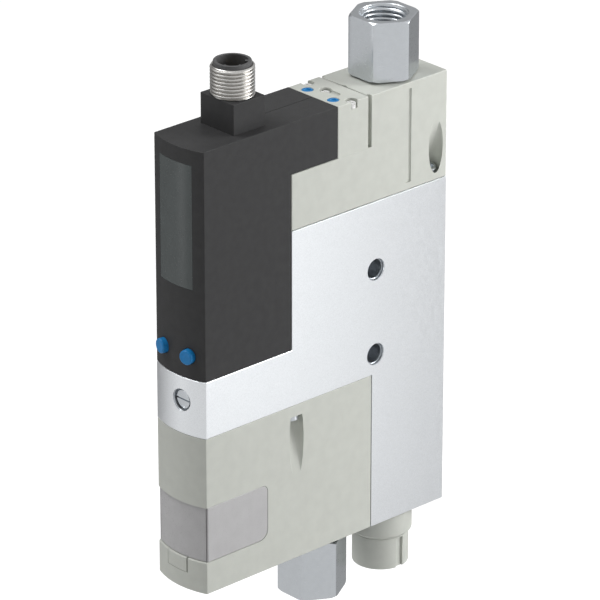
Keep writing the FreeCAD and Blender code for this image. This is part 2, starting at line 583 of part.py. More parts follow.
def circuit_board():
    back = "board_front + board_thickness"
    board = box(across("board_half"), ("board_front", back), ("board_bottom", "board_top"))
    chip_z = ("chip_z - chip_half", "chip_z + chip_half")
    chip = box(across("chip_half"), (back, f"{back} + chip_height"), chip_z)
    place(fuse(board, chip), "circuit_board")
    sensor_z = ("sensor_z - sensor_half", "sensor_z + sensor_half")
    sensor = box(across("sensor_half"), (back, f"{back} + sensor_height"), sensor_z)
    place(sensor, "pressure_sensor", "-sensor_half", back, "sensor_z - sensor_half")
    case_z = ("key_z - key_switch_half", "key_z + key_switch_half")
    plunger_front = "key_switch_front - key_plunger_rise"
    for side, label in (("-", "key_switch_left"), ("", "key_switch_right")):
        x = f"{side}key_switch_x"
        case = box((f"{x} - key_switch_half", f"{x} + key_switch_half"), ("key_switch_front", "board_front"), case_z)
        plunger = rod("y", "key_plunger", plunger_front, "board_front", x, "key_z", FASTENER_SIDES)
        place(fuse(case, plunger), label)


def pilot_valve(side, name):
    coil = turned([
        (0, 0), ("coil_radius", 0), ("coil_radius", "coil_back - coil_front"),
        ("armature_radius + armature_gap", "coil_back - coil_front"),
        ("armature_radius + armature_gap", "plug_nose - coil_front"), (0, "plug_nose - coil_front"),
    ], "y")
    place(coil, f"{name}_coil", f"{side}coil_x", "coil_front", "coil_z")
    armature = tube("armature_radius", 0, 0, "armature_back - armature_front", "y")
    place(armature, f"{name}_armature", f"{side}coil_x", "armature_front", "coil_z")
    length = "(armature_front - plug_nose)"
    coil_spring = spring("pilot_spring_radius", "pilot_spring_wire", "pilot_spring_turns", length)
    place(coil_spring, f"{name}_spring", f"{side}coil_x", "plug_nose", "coil_z")


def override(side, label):
    pin = tube("override_radius", 0, 0, "height - override_sink - override_bottom")
    place(pin, label, f"{side}override_x", "override_y", "override_bottom")


def check_valve():
    poppet = tube("poppet_radius", 0, 0, "poppet_thickness", "y")
    place(poppet, "check_poppet", 0, "check_seat", "valve_z")
    length = "(lower_depth - check_seat - poppet_thickness)"
    coil = spring("check_spring_radius", "check_spring_wire", "check_spring_turns", length)
    place(coil, "check_spring", 0, "check_seat + poppet_thickness", "valve_z")


def port_sleeve(name, y, z, down):
    """Screwed port sleeve: hexagon, sealing collar, spigot and threaded mouth."""
    prism = bar("hex_radius", "hex_height", 6)
    move(prism, 0, 0, "port_collar")
    top = "port_collar + hex_height"
    turning = turned([
        (0, "port_collar"), ("hex_radius", "port_collar"), ("hex_radius", f"{top} - hex_rise"),
        ("hex_crown", top), (0, top),
    ])
    stem = turned([
        (0, "-spigot_length"), ("spigot_radius", "-spigot_length"), ("spigot_radius", 0),
        ("collar_radius", 0), ("collar_radius", "port_collar"), (0, "port_collar"),
    ])
    bore = turned([
        (0, "-spigot_length - OVER"), ("port_bore", "-spigot_length - OVER"),
        ("port_bore", f"{top} - thread_length"), ("thread_minor", f"{top} - thread_length"),
        ("thread_minor", f"{top} + OVER"), (0, f"{top} + OVER"),
    ])
    sleeve = cut(fuse(common(prism, turning), stem), bore)
    if down:
        sleeve.Placement = FreeCAD.Placement(FreeCAD.Vector(), FreeCAD.Rotation(X, 180))
    place(sleeve, f"{name}_sleeve", 0, y, z)


def silencer():
    cone_end = "-(exhaust_collar_height + exhaust_cone)"
    shell = turned([
        (0, "exhaust_spigot_height"), (0, "-exhaust_height"), ("exhaust_radius", "-exhaust_height"),
        ("exhaust_radius", cone_end), ("exhaust_collar", "-exhaust_collar_height"), ("exhaust_collar", 0),
        ("exhaust_spigot", 0), ("exhaust_spigot", "exhaust_spigot_height"),
    ])
    slot_x = ("exhaust_radius - exhaust_slot_depth", "exhaust_radius + OVER")
    tools = [
        box(slot_x, across("exhaust_slot / 2"), ("-exhaust_height - OVER", cone_end)),
        rod("z", "exhaust_bore", "-exhaust_height - OVER", "-exhaust_roof"),
        rod("z", "receiver_mouth", "-exhaust_roof - OVER", "exhaust_spigot_height + OVER"),
    ]
    place(cut(shell, *tools), "silencer_housing", 0, "port_y", 0)
    bottom = "silencer_recess - exhaust_height"
    inner = turned([
        ("silencer_bore", "-exhaust_roof"), ("silencer_bore", f"{bottom} + silencer_cap"),
        (0, f"{bottom} + silencer_cap"), (0, bottom), ("silencer_radius", bottom),
        ("silencer_radius", "-exhaust_roof"),
    ])
    place(inner, "silencer_insert", 0, "port_y", 0)


def jet_pump():
    body = "pump_bore - cartridge_gap"
    jet = turned([
        ("jet_radius", "-nozzle_tip"), ("nozzle_tip_radius", "-nozzle_tip"), ("nozzle_tip_radius", 0),
        (body, 0), (body, "nozzle_length"), ("jet_mouth", "nozzle_length"), ("jet_mouth", "jet_taper"),
        ("jet_radius", 0),
    ])
    place(jet, "jet_nozzle", 0, "port_y", "receiver_top + suction_length")
    receiver = turned([
        ("receiver_mouth", "exhaust_spigot_height"), (body, "exhaust_spigot_height"),
        (body, "receiver_top"), ("receiver_jet", "receiver_top"),
        ("receiver_jet", "receiver_top - receiver_throat"),
    ])
    place(receiver, "receiver_nozzle", 0, "port_y", 0)


def throttle_screw():
    head = rod("y", "throttle_head", "throttle_face", "throttle_head_end", "throttle_x", "throttle_z")
    shank = rod("y", "throttle_shank", "throttle_head_end", "throttle_end", "throttle_x", "throttle_z")
    slot_x = ("throttle_x - throttle_head - OVER", "throttle_x + throttle_head + OVER")
    slot_y = ("throttle_face - OVER", "throttle_face + screw_slot_depth")
    slot_z = ("throttle_z - screw_slot / 2", "throttle_z + screw_slot / 2")
    place(cut(fuse(head, shank), box(slot_x, slot_y, slot_z)), "throttle_screw")


def mounting_sleeves():
    for z, label in zip(hole_heights(), ("lower_mounting_sleeve", "upper_mounting_sleeve")):
        sleeve = tube("sleeve_radius", "sleeve_bore", "sleeve_recess - width / 2", "width / 2 - sleeve_recess", "x")
        place(sleeve, label, 0, "mount_y", z)


def plug():
    top = "height + plug_flange"
    rim = "plug_height + plug_insert_rise"
    flange_y = ("plug_y - plug_half_y", "plug_y + plug_half_y")
    flange = box(across("plug_half_x"), flange_y, ("height", top))
    neck = rod("z", "plug_neck", "height - plug_neck_end", "height", 0, "plug_y")
    well = rod("z", "plug_insert + cartridge_gap", f"{top} - plug_sink", f"{top} + OVER", 0, "plug_y")
    passage = rod("z", "pin_circle + 2 * pin_radius", "height - plug_neck_end - OVER", top, 0, "plug_y")
    place(cut(fuse(flange, neck), well, passage), "plug_base")
    place(tube("plug_radius", "plug_bore", 0, "plug_height"), "plug_sleeve", 0, "plug_y", top)
    cup = turned([
        (0, "-plug_sink"), ("plug_insert", "-plug_sink"), ("plug_insert", rim), ("plug_cup", rim),
        ("plug_cup", "plug_floor"), (0, "plug_floor"),
    ])
    root = "(plug_cup - key_way_depth)"
    key = box((root, "plug_cup + key_way_root"), across("key_way / 2"), (0, "key_way_top"))
    key.Placement = FreeCAD.Placement(FreeCAD.Vector(), FreeCAD.Rotation(Z, 45))
    bind(key, Placement__Base__x=f"{root} * cos(45) + key_way / 2 * sin(45)",
         Placement__Base__y=f"{root} * sin(45) - key_way / 2 * cos(45)")
    bore = "pin_radius + cartridge_gap"
    holes = [rod("z", bore, "-plug_sink - OVER", "plug_floor + OVER", x, y, FASTENER_SIDES) for x, y in PINS]
    place(cut(fuse(cup, key), *holes), "plug_insert", 0, "plug_y", top)
    ends = ("height - pin_tail", f"{top} + pin_top")
    made = [rod("z", "pin_radius", *ends, x, f"plug_y + {y}", FASTENER_SIDES) for x, y in PINS]
    place(fuse(*made), "plug_pins")


manifold_body()
mounting_sleeves()
jet_pump()
throttle_screw()
lower_housing()
filter_cover()
check_valve()
rear_housing()
housing_screws("top", "upper_housing_screws")
housing_screws("low", "lower_housing_screws")
valve_block()
valve_screws()
for half, pilot, pin in (("-", "supply", "supply_override"), ("", "ejector", "ejector_override")):
    pilot_valve(half, f"{pilot}_valve")
    override(half, pin)
switch_housing()
display()
circuit_board()
button("-", "button_left")
button("", "button_right")
plug()
port_sleeve("supply_port", "port_y", "height", False)
port_sleeve("vacuum_port", "vacuum_y", "0", True)
silencer()

doc.recompute()
for thing in doc.Objects:
    if {"Invalid", "Error"} & set(thing.State):
        raise RuntimeError(f"{thing.Label} failed: {thing.State}")
os.makedirs("parts", exist_ok=True)
for thing in SUBPARTS:
    if thing.Shape.isNull() or not thing.Shape.isValid():
        raise RuntimeError(f"{thing.Label} has no valid shape")
    thing.Shape.exportStep(f"parts/{thing.Label}.step")
    print(f"{thing.Label}: {len(thing.Shape.Solids)} solid, {thing.Shape.Volume:.1f} mm3")
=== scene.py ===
import contextlib
from math import atan2, cos, pi, radians, sin, sqrt, tan

import bmesh
import bpy
from mathutils import Matrix, Vector


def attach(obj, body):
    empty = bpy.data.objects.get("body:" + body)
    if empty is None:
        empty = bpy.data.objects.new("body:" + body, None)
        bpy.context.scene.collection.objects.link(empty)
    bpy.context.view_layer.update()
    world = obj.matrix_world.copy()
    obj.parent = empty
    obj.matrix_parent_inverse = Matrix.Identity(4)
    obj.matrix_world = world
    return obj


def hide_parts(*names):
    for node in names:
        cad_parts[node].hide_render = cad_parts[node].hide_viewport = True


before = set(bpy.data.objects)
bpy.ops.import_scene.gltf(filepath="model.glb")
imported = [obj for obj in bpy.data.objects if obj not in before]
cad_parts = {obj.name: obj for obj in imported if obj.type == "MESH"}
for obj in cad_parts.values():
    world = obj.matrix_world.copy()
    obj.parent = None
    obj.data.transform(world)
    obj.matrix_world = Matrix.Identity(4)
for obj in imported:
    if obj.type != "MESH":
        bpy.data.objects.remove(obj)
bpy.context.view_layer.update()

# Aluminium block
# Milled from drawn bar, glass blasted and clear anodised. The air ways run inside it, two screws go
# through it to hold the unit, and every other piece is fixed to it. Lengths are in millimetres and
# count from the front corners (back) and from the underside (up), as on the drawing.
WIDTH, DEPTH, FRONT_RADIUS = 20.0, 88.9, 25.0
ARC_CENTRE = sqrt(FRONT_RADIUS**2 - WIDTH**2 / 4)
LOWER_HEIGHT, STEP_HEIGHT, BLOCK_HEIGHT = 46.8, 63.6, 98.65
LOWER_DEPTH, SWITCH_DEPTH = 61.3, 31.3
MOUNT_Y, MOUNT_Z, MOUNT_PITCH = 62.5, 65.6, 25.5
HOLE_HEIGHTS = (MOUNT_Z - MOUNT_PITCH / 2, MOUNT_Z + MOUNT_PITCH / 2)
SLEEVE_RADIUS, HOLE_EASE = 3.0, 0.24
PORT_Y, PUMP_BORE, PUMP_FLOOR, RECEIVER_TOP, RECEIVER_FLOOR = 74.2, 4.6, 34, 33, 7
SILENCER_SEAT, SEAT_TOP = 6.5, 8
VALVE_Z, SUCTION_BORE = 39.0, 2.5
THROTTLE_X, THROTTLE_Z, THROTTLE_MOUTH, THROTTLE_HEAD = 2.2, 56.65, 3.1, 2.6
THROTTLE_FACE, THROTTLE_FLOOR, THROTTLE_REACH = -1.75, 1.2, 16
PORT_AXIS, VALVE_AXIS, THROTTLE_AXIS = (0, PORT_Y, 0), (0, 0, VALVE_Z), (THROTTLE_X, 0, THROTTLE_Z)
METAL_EDGE = 0.3
TO_AXIS = {
    "x": Matrix.Rotation(radians(90), 4, "Y"),
    "y": Matrix.Rotation(radians(-90), 4, "X"),
    "z": Matrix(),
}
# A tool stands OVER past the face that it opens, and a rounded edge ends PROUD of the face.
OVER, PROUD = 1.0, 0.006
# A corner of a side view that has BOW for its depth lies on the bowed front.
BOW = "bow"


def added(name, data):
    """Put an object into the scene."""
    thing = bpy.data.objects.new(name, data)
    bpy.context.scene.collection.objects.link(thing)
    return thing


@contextlib.contextmanager
def reworked(mesh):
    """Open a mesh to work on it, and write it back afterwards."""
    shell = bmesh.new()
    shell.from_mesh(mesh)
    yield shell
    shell.to_mesh(mesh)
    shell.free()


def skin(name, rings, joined=False):
    """Skin over rings of points, each ring joined to the next; the ends are closed or join each other."""
    count = len(rings[0])
    points = [point for ring in rings for point in ring]
    faces = []
    for i in range(len(rings) if joined else len(rings) - 1):
        here, there = i * count, (i + 1) % len(rings) * count
        for j in range(count):
            after = (j + 1) % count
            faces.append((here + j, here + after, there + after, there + j))
    if not joined:
        faces += [tuple(range(count)), tuple(range(len(points) - count, len(points)))]
    mesh = bpy.data.meshes.new(name)
    mesh.from_pydata(points, [], faces)
    with reworked(mesh) as shell:
        bmesh.ops.remove_doubles(shell, verts=shell.verts, dist=1e-4)
        bmesh.ops.recalc_face_normals(shell, faces=shell.faces)
    return added(name, mesh)


def plan(half, recess, corner):
    """Columns across the width: where each stands and how far back the bowed front lies there."""
    radius = FRONT_RADIUS - recess
    centre_x = half - corner
    centre_y = ARC_CENTRE - sqrt((radius - corner) ** 2 - centre_x**2)
    lean = atan2(centre_x, ARC_CENTRE - centre_y)
    corner_steps, bow_steps = 5, 11
    right = []
    for i in range(corner_steps + 1):
        turn = pi / 2 - (pi / 2 - lean) * i / corner_steps
        right.append((centre_x + corner * sin(turn), centre_y - corner * cos(turn)))
    for i in range(1, bow_steps + 1):
        turn = lean * (1 - i / bow_steps)
        right.append((radius * sin(turn), ARC_CENTRE - radius * cos(turn)))
    return [(-x, y) for x, y in right] + list(reversed(right[:-1]))


def stack_piece(name, profile, half, columns=None):
    """Piece of the stack, drawn out across the width from its side view."""
    columns = columns or [(-half, 0), (half, 0)]
    return skin(name, [[(x, front if y == BOW else y, z) for y, z in profile] for x, front in columns])


def ease_edges(piece, radius, faint=None, steps=3):
    """Round every sharp edge, but only a little the edges that lie at the height of faint."""
    with reworked(piece.data) as shell:
        bmesh.ops.dissolve_limit(shell, angle_limit=radians(0.4), verts=shell.verts, edges=shell.edges)
        weight = shell.edges.layers.float.new("bevel_weight_edge")
        for edge in shell.edges:
            if edge.is_manifold and edge.calc_face_angle() > radians(35):
                flat = faint is not None and all(abs(end.co.z - faint) < 1e-3 for end in edge.verts)
                edge[weight] = 0.25 if flat else 1.0
    easing = piece.modifiers.new("Edges", "BEVEL")
    easing.limit_method = "WEIGHT"
    easing.width = radius
    easing.segments = steps
    easing.use_clamp_overlap = False


def directions(steps):
    """Evenly spaced directions round an axis."""
    return [2 * pi * i / steps for i in range(steps)]


def ring(turns, radius, height):
    """Circle of points round the axis, one in each direction."""
    return [(radius * cos(turn), radius * sin(turn), height) for turn in turns]


def turned(name, section, axis="z", centre=(0, 0, 0), steps=72, hollow=False, stand=None):
    """Turned piece from its half section of radius and height, about one axis through its centre."""
    turns = directions(steps)
    piece = skin(name, [ring(turns, radius, height) for radius, height in section], hollow)
    piece.data.transform((stand or Matrix.Translation(centre)) @ TO_AXIS[axis])
    return piece


def cylinder(name, radius, start, end, axis="z", centre=(0, 0, 0)):
    """Plain cylinder between two places along its axis, most often the tool for a bore."""
    return turned(name, [(0, start), (radius, start), (radius, end), (0, end)], axis, centre)


def mouth(radius, floor, face, easing, out=OVER):
    """Half section of a round recess whose edge at the face is rounded over."""
    way = 1 if face > floor else -1
    section = [(0, floor), (radius, floor)]
    for i in range(5):
        turn = radians(90 * i / 4)
        below = easing * (1 - sin(turn)) - PROUD
        section.append((radius + easing * (1 - cos(turn)), face - way * below))
    return section + [(radius + easing, face + way * out), (0, face + way * out)]


def settle(piece):
    """Take in the piece's modifiers and leave a plain mesh."""
    settled = bpy.data.meshes.new_from_object(piece.evaluated_get(bpy.context.evaluated_depsgraph_get()))
    piece.modifiers.clear()
    piece.data = settled


def carve(piece, *tools):
    """Cut the tools' forms out of the piece, one after the other, and put the tools away."""
    weld = 3e-4
    for tool in tools:
        cutting = piece.modifiers.new("Cut", "BOOLEAN")
        cutting.operation = "DIFFERENCE"
        cutting.solver = "EXACT"
        cutting.object = tool
        settle(piece)
        with reworked(piece.data) as shell:
            bmesh.ops.remove_doubles(shell, verts=shell.verts, dist=weld)
            bmesh.ops.dissolve_degenerate(shell, edges=shell.edges, dist=weld)
        bpy.data.objects.remove(tool)


def fit(piece, body, nodes, material, sharp=32):
    """Finish a piece: smooth it between its edges, bring it to its place and fix it to its body."""
    if piece.modifiers:
        settle(piece)
    with reworked(piece.data) as shell:
        for face in shell.faces:
            face.smooth = True
        for edge in shell.edges:
            edge.smooth = edge.is_manifold and edge.calc_face_angle() < radians(sharp)
    weighting = piece.modifiers.new("Shading", "WEIGHTED_NORMAL")
    weighting.keep_sharp = True
    settle(piece)
    piece.data.transform(Matrix.Scale(0.001, 4) @ Matrix.Translation((0, -MOUNT_Y, -MOUNT_Z)))
    piece.data.materials.clear()
    piece.data.materials.append(material)
    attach(piece, body)
    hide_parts(*nodes)


def adjust(material, setting, value):
    """Set one value of a finish."""
    material.node_tree.nodes["Principled BSDF"].inputs[setting].default_value = value


def finish(name, colour, metallic, roughness):
    """Start a finish: a plain shader in one colour."""
    material = bpy.data.materials.new(name)
    material.use_nodes = True
    adjust(material, "Base Color", (*colour, 1))
    adjust(material, "Metallic", metallic)
    adjust(material, "Roughness", roughness)
    return material


def node(tree, kind, inputs=None, operation=None):
    """New node of a finish or of the light: each input is led in from another node or set to a value."""
    made = tree.nodes.new("ShaderNode" + kind)
    if operation:
        made.operation = operation
    for place, source in (inputs or {}).items():
        if isinstance(source, bpy.types.NodeSocket):
            tree.links.new(source, made.inputs[place])
        else:
            made.inputs[place].default_value = source
    return made


def grain(material, size, detail=2.0, stretch=(1, 1, 1)):
    """Fine irregular pattern, its size in millimetres, drawn out along one direction where stretched."""
    tree = material.node_tree
    place = node(tree, "TexCoord").outputs["Object"]
    scale = [1000 / size / s for s in stretch]
    scaled = node(tree, "Mapping", {"Vector": place, "Scale": scale}).outputs["Vector"]
    return node(tree, "TexNoise", {"Vector": scaled, "Scale": 1.0, "Detail": detail}).outputs["Fac"]


def spread(tree, value, ends, levels):
    """Carry a value over from one range to another."""
    ranges = {"From Min": ends[0], "From Max": ends[1], "To Min": levels[0], "To Max": levels[1]}
    return node(tree, "MapRange", {"Value": value, **ranges}).outputs["Result"]


# A pattern stays between these two levels nearly everywhere.
PATTERN_ENDS = (0.3, 0.7)


def tint(material, pattern, dark, light):
    """Let the colour wander with the pattern, from a darker to a lighter shade of itself."""
    tree = material.node_tree
    colour = tree.nodes["Principled BSDF"].inputs["Base Color"]
    shades = node(tree, "ValToRGB", {"Fac": pattern})
    for element, place, factor in zip(shades.color_ramp.elements, PATTERN_ENDS, (dark, light)):
        element.position = place
        element.color = [part * factor for part in colour.default_value[:3]] + [1]
    tree.links.new(shades.outputs["Color"], colour)


def dull(material, pattern, least, most):
    """Let the gloss wander with the pattern."""
    tree = material.node_tree
    gloss = spread(tree, pattern, PATTERN_ENDS, (least, most))
    tree.links.new(gloss, tree.nodes["Principled BSDF"].inputs["Roughness"])


def emboss(material, pattern, height, strength=1.0):
    """Raise the pattern by a height in millimetres."""
    tree = material.node_tree
    relief = {"Height": pattern, "Distance": height / 1000, "Strength": strength}
    raised = node(tree, "Bump", relief).outputs["Normal"]
    tree.links.new(raised, tree.nodes["Principled BSDF"].inputs["Normal"])


anodised = finish("anodised_aluminium", (0.88, 0.905, 0.93), 1.0, 0.4)
blasting = grain(anodised, 0.22, 3)
tint(anodised, blasting, 0.93, 1.06)
dull(anodised, grain(anodised, 1.4), 0.33, 0.41)
emboss(anodised, blasting, 0.012, 0.7)

body = stack_piece("aluminium_block", [
    (BOW, LOWER_HEIGHT), (LOWER_DEPTH, LOWER_HEIGHT), (LOWER_DEPTH, 0), (DEPTH, 0),
    (DEPTH, BLOCK_HEIGHT), (SWITCH_DEPTH, BLOCK_HEIGHT), (SWITCH_DEPTH, STEP_HEIGHT), (BOW, STEP_HEIGHT),
], WIDTH / 2, plan(WIDTH / 2, 0, METAL_EDGE))
ease_edges(body, 0.22, BLOCK_HEIGHT)
flank = WIDTH / 2
hole_edge = [(SLEEVE_RADIUS, flank - 0.6), (SLEEVE_RADIUS + HOLE_EASE / 2, flank - 0.2)]
hole_edge += [(SLEEVE_RADIUS + HOLE_EASE, flank + PROUD), (SLEEVE_RADIUS + HOLE_EASE, flank + OVER)]
hole_edge.append((0, flank + OVER))
hole_section = [(r, -x) for r, x in reversed(hole_edge)] + hole_edge
throttle_recess = mouth(THROTTLE_MOUTH + 0.08, THROTTLE_FLOOR, THROTTLE_FACE, 0.06, 3)
tools = [turned("hole", hole_section, "x", (0, MOUNT_Y, z)) for z in HOLE_HEIGHTS]
tools += [
    cylinder("pump_bore", PUMP_BORE, PUMP_FLOOR, BLOCK_HEIGHT + OVER, centre=PORT_AXIS),
    turned("silencer_seat", mouth(SILENCER_SEAT, SEAT_TOP, 0, 0.2), centre=PORT_AXIS),
    cylinder("receiver_bore", PUMP_BORE, RECEIVER_FLOOR, RECEIVER_TOP, centre=PORT_AXIS),
    cylinder("suction_way", SUCTION_BORE, LOWER_DEPTH - OVER, PORT_Y, "y", VALVE_AXIS),
    turned("throttle_recess", throttle_recess, "y", THROTTLE_AXIS),
    cylinder("throttle_bore", THROTTLE_HEAD + 0.05, 0, THROTTLE_REACH, "y", THROTTLE_AXIS),
]
carve(body, *tools)
fit(body, "main", ["manifold_body"], anodised)

# Steel sleeves in the two mounting holes
# Turned from tube, zinc plated and pressed in a little below both faces, so that the fixing screws
# bear on steel and not on the soft block.
SLEEVE_BORE, SLEEVE_RECESS, SLEEVE_FLARE = 2.6, 1.0, 1.3
zinc_plate = finish("zinc_plated_steel", (0.64, 0.67, 0.70), 1.0, 0.28)
turning = grain(zinc_plate, 0.12, 2, (14, 14, 1))
tint(zinc_plate, grain(zinc_plate, 1.6), 0.98, 1.02)
dull(zinc_plate, turning, 0.27, 0.35)
emboss(zinc_plate, turning, 0.002, 0.3)
end = WIDTH / 2 - SLEEVE_RECESS
wall = [(SLEEVE_BORE, SLEEVE_FLARE - end), (SLEEVE_RADIUS - 0.14, -end)]
wall += [(SLEEVE_RADIUS - 0.05, -end), (SLEEVE_RADIUS, 0.05 - end)]
section = wall + [(r, -x) for r, x in reversed(wall)]
for z, level in zip(HOLE_HEIGHTS, ("lower", "upper")):
    sleeve = turned(f"{level}_sleeve", section, "x", (0, MOUNT_Y, z), hollow=True)
    fit(sleeve, "main", [f"{level}_mounting_sleeve"], zinc_plate)

# Lower housing
# Moulded in light grey plastic with a fine eroded texture. It stands under the front of the block,
# holds the filter and the non-return valve, and two sloping screws pull it up from below.
PLASTIC_EDGE, SIDE_INSET, LOWER_GAP = 0.35, 0.1, 0.22
PLASTIC_HALF, LOWER_TOP, FRONT_MOST = WIDTH / 2 - SIDE_INSET, LOWER_HEIGHT - 0.06, -3.0
COVER_BOTTOM, COVER_TOP, COVER_DEPTH, LOW_CORNER, HIGH_CORNER = 9.55, 26.1, 22.4, 3.0, 2.0
LIP = 0.3
TAB_FRONT, TAB_LEFT, TAB_RIGHT, TAB_BOTTOM = -2.087, -4.2, 3.4, 5.2
TAB_SLOT, TAB_GROOVE = 0.5, 0.16
SLOT_IN, FOOT_IN, SIDE_IN = 1.3, 0.5, 0.8
VACUUM_Y, AIR_BORE, PORT_SEAT, PORT_DEPTH = 47.9, 3.2, 6.6, 13.1
CHECK_BORE, CHECK_SEAT, FILTER_Z = 4.5, 50, (COVER_BOTTOM + COVER_TOP) / 2
VACUUM_AXIS, FILTER_AXIS = (0, VACUUM_Y, 0), (0, 0, FILTER_Z)
# The scoops: how they slope, how far in from the side they end, and how far back and up that is.
SCOOP_LEAN, SCOOP_IN = {"lower": 13.2, "upper": 19.5}, {"lower": 1.62, "upper": 2.74}
SCOOP_PLACE = {"lower": (33.0, 43.0), "upper": (84.8, 101.0)}
SCOOP_RADIUS, SCOOP_LENGTH = 2.65, 24
grey_plastic = finish("grey_plastic", (0.555, 0.57, 0.525), 0.0, 0.52)
texture = grain(grey_plastic, 0.16, 3)
tint(grey_plastic, grain(grey_plastic, 3.0, 4), 0.97, 1.03)
dull(grey_plastic, texture, 0.4, 0.52)
emboss(grey_plastic, texture, 0.008, 0.6)
adjust(grey_plastic, "Specular IOR Level", 0.55)


def block(name, x, y, z):
    """Square-cornered tool between two places in each direction."""
    corners = ((y[0], z[0]), (y[1], z[0]), (y[1], z[1]), (y[0], z[1]))
    return skin(name, [[(place, *corner) for corner in corners] for place in x])


def cover_profile(gap, front):
    """Side view of the filter cover, or of its opening in the housing, with its round rear corners."""
    back, low, high = COVER_DEPTH - gap, COVER_BOTTOM + gap, COVER_TOP - gap
    corners = []
    for middle, corner, first in ((low + LOW_CORNER, LOW_CORNER, -90), (high - HIGH_CORNER, HIGH_CORNER, 0)):
        for i in range(9):
            turn = radians(first + 90 * i / 8)
            corners.append((back - corner + corner * cos(turn), middle + corner * sin(turn)))
    return [(front, low), *corners, (front, high)]


def slope(side, level, inward):
    """Stand of a sloping screw or its scoop: its seat, with Z pointing in along the screw."""
    lean, up = radians(SCOOP_LEAN[level]), 1 if level == "upper" else -1
    y, z = SCOOP_PLACE[level]
    seat = (inward - SCOOP_IN[level]) * tan(lean)
    way = Vector((-side * sin(lean), 0, -up * cos(lean)))
    across = Vector((0, 1, 0))
    turn = Matrix((across.cross(way), across, way)).transposed().to_4x4()
    return Matrix.Translation((side * (PLASTIC_HALF - inward), y, z + up * seat)) @ turn


def scoop(side, level):
    """Tool for the driver scoop that runs out along the slope of one screw."""
    section = [(0, -SCOOP_LENGTH), (SCOOP_RADIUS, -SCOOP_LENGTH), (SCOOP_RADIUS, 0), (0, 0)]
    return turned("scoop", section, stand=slope(side, level, SCOOP_IN[level]), steps=96)


plastic_plan = plan(PLASTIC_HALF, 0, PLASTIC_EDGE)
lower_back = LOWER_DEPTH - LOWER_GAP
lower = stack_piece("lower_housing_shell", [
    (BOW, 0), (lower_back, 0), (lower_back, LOWER_TOP), (BOW, LOWER_TOP),
], PLASTIC_HALF, plastic_plan)
ease_edges(lower, 0.22)
lip = []
for x, front in plan(PLASTIC_HALF + OVER, 0, 0.1):
    bevel = [(x, front - OVER, COVER_BOTTOM - LIP - OVER), (x, front + LIP, COVER_BOTTOM)]
    lip.append([*bevel, (x, front - OVER, COVER_BOTTOM)])
tab_floor = TAB_BOTTOM - TAB_GROOVE
tab_rise, tab_foot = (tab_floor, COVER_BOTTOM + OVER), (tab_floor, TAB_BOTTOM)
tools = [
    skin("lip", lip),
    stack_piece("cover_opening", cover_profile(0, FRONT_MOST - OVER), WIDTH),
    *[scoop(side, "lower") for side in (1, -1)],
    cylinder("check_bore", CHECK_BORE, CHECK_SEAT, LOWER_DEPTH + OVER, "y", VALVE_AXIS),
    cylinder("check_way", SUCTION_BORE, VACUUM_Y, CHECK_SEAT + 0.5, "y", VALVE_AXIS),
    turned("port_seat", mouth(PORT_SEAT, PORT_DEPTH, 0, 0.2), centre=VACUUM_AXIS),
    cylinder("air_way", AIR_BORE, PORT_DEPTH - 0.5, VALVE_Z - 0.7, centre=VACUUM_AXIS),
    cylinder("filter_way", SUCTION_BORE, COVER_DEPTH - OVER, VACUUM_Y - 0.7, "y", FILTER_AXIS),
    block("tab_slot", (TAB_RIGHT, TAB_RIGHT + TAB_SLOT), (FRONT_MOST, TAB_FRONT + SLOT_IN), tab_rise),
    block("tab_foot", (TAB_LEFT, TAB_RIGHT + 0.1), (FRONT_MOST, TAB_FRONT + FOOT_IN), tab_foot),
    block("tab_groove", (TAB_LEFT - TAB_GROOVE, TAB_LEFT), (FRONT_MOST, TAB_FRONT + SIDE_IN), tab_rise),
]
carve(lower, *tools)
fit(lower, "main", ["lower_housing"], grey_plastic)

# Filter cover and filter element
# The cover is moulded in a slightly clear grey plastic, so that the dirt behind it can be seen, and
# pulls out at the front once the tab below is pressed. The felt element hangs on a spigot inside.
COVER_GAP, COVER_RECESS, COVER_WALL, COVER_FRONT = 0.08, 0.45, 1.3, 0.65
GROOVE_OUT, GROOVE_IN, GROOVE_DEPTH = 0.3, 0.62, 0.75
window_plastic = finish("window_plastic", (0.475, 0.47, 0.475), 0.0, 0.3)
tint(window_plastic, grain(window_plastic, 4.0, 3), 0.96, 1.03)
dull(window_plastic, grain(window_plastic, 0.3), 0.26, 0.36)
adjust(window_plastic, "Coat Weight", 0.2)
adjust(window_plastic, "Coat Roughness", 0.25)
cover_plan = plan(PLASTIC_HALF, COVER_RECESS, METAL_EDGE)
cover = stack_piece("filter_cover_cup", cover_profile(COVER_GAP, BOW), PLASTIC_HALF, cover_plan)
ease_edges(cover, 0.2)
for side in (1, -1):
    groove = sorted((side * (PLASTIC_HALF - GROOVE_OUT), side * (PLASTIC_HALF - GROOVE_IN)))
    rise = (COVER_BOTTOM - OVER, COVER_TOP + OVER)
    carve(cover, block("corner_groove", groove, (FRONT_MOST, GROOVE_DEPTH), rise))
inside = PLASTIC_HALF - COVER_WALL
rise = (COVER_BOTTOM + COVER_WALL, COVER_TOP - COVER_WALL)
carve(cover, block("cover_hollow", (-inside, inside), (COVER_FRONT, COVER_DEPTH + OVER), rise))
fit(cover, "main", ["filter_cover"], window_plastic)


def refinish(material, *nodes):
    """Give pieces that keep their CAD form their finish."""
    for name in nodes:
        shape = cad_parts[name]
        shape.data.materials.clear()
        shape.data.materials.append(material)


felt = finish("filter_felt", (0.72, 0.71, 0.66), 0.0, 0.95)
fibres = grain(felt, 0.2, 6, (1, 4, 1))
tint(felt, fibres, 0.8, 1.08)
emboss(felt, fibres, 0.12)
adjust(felt, "Sheen Weight", 0.3)
refinish(felt, "filter_element")

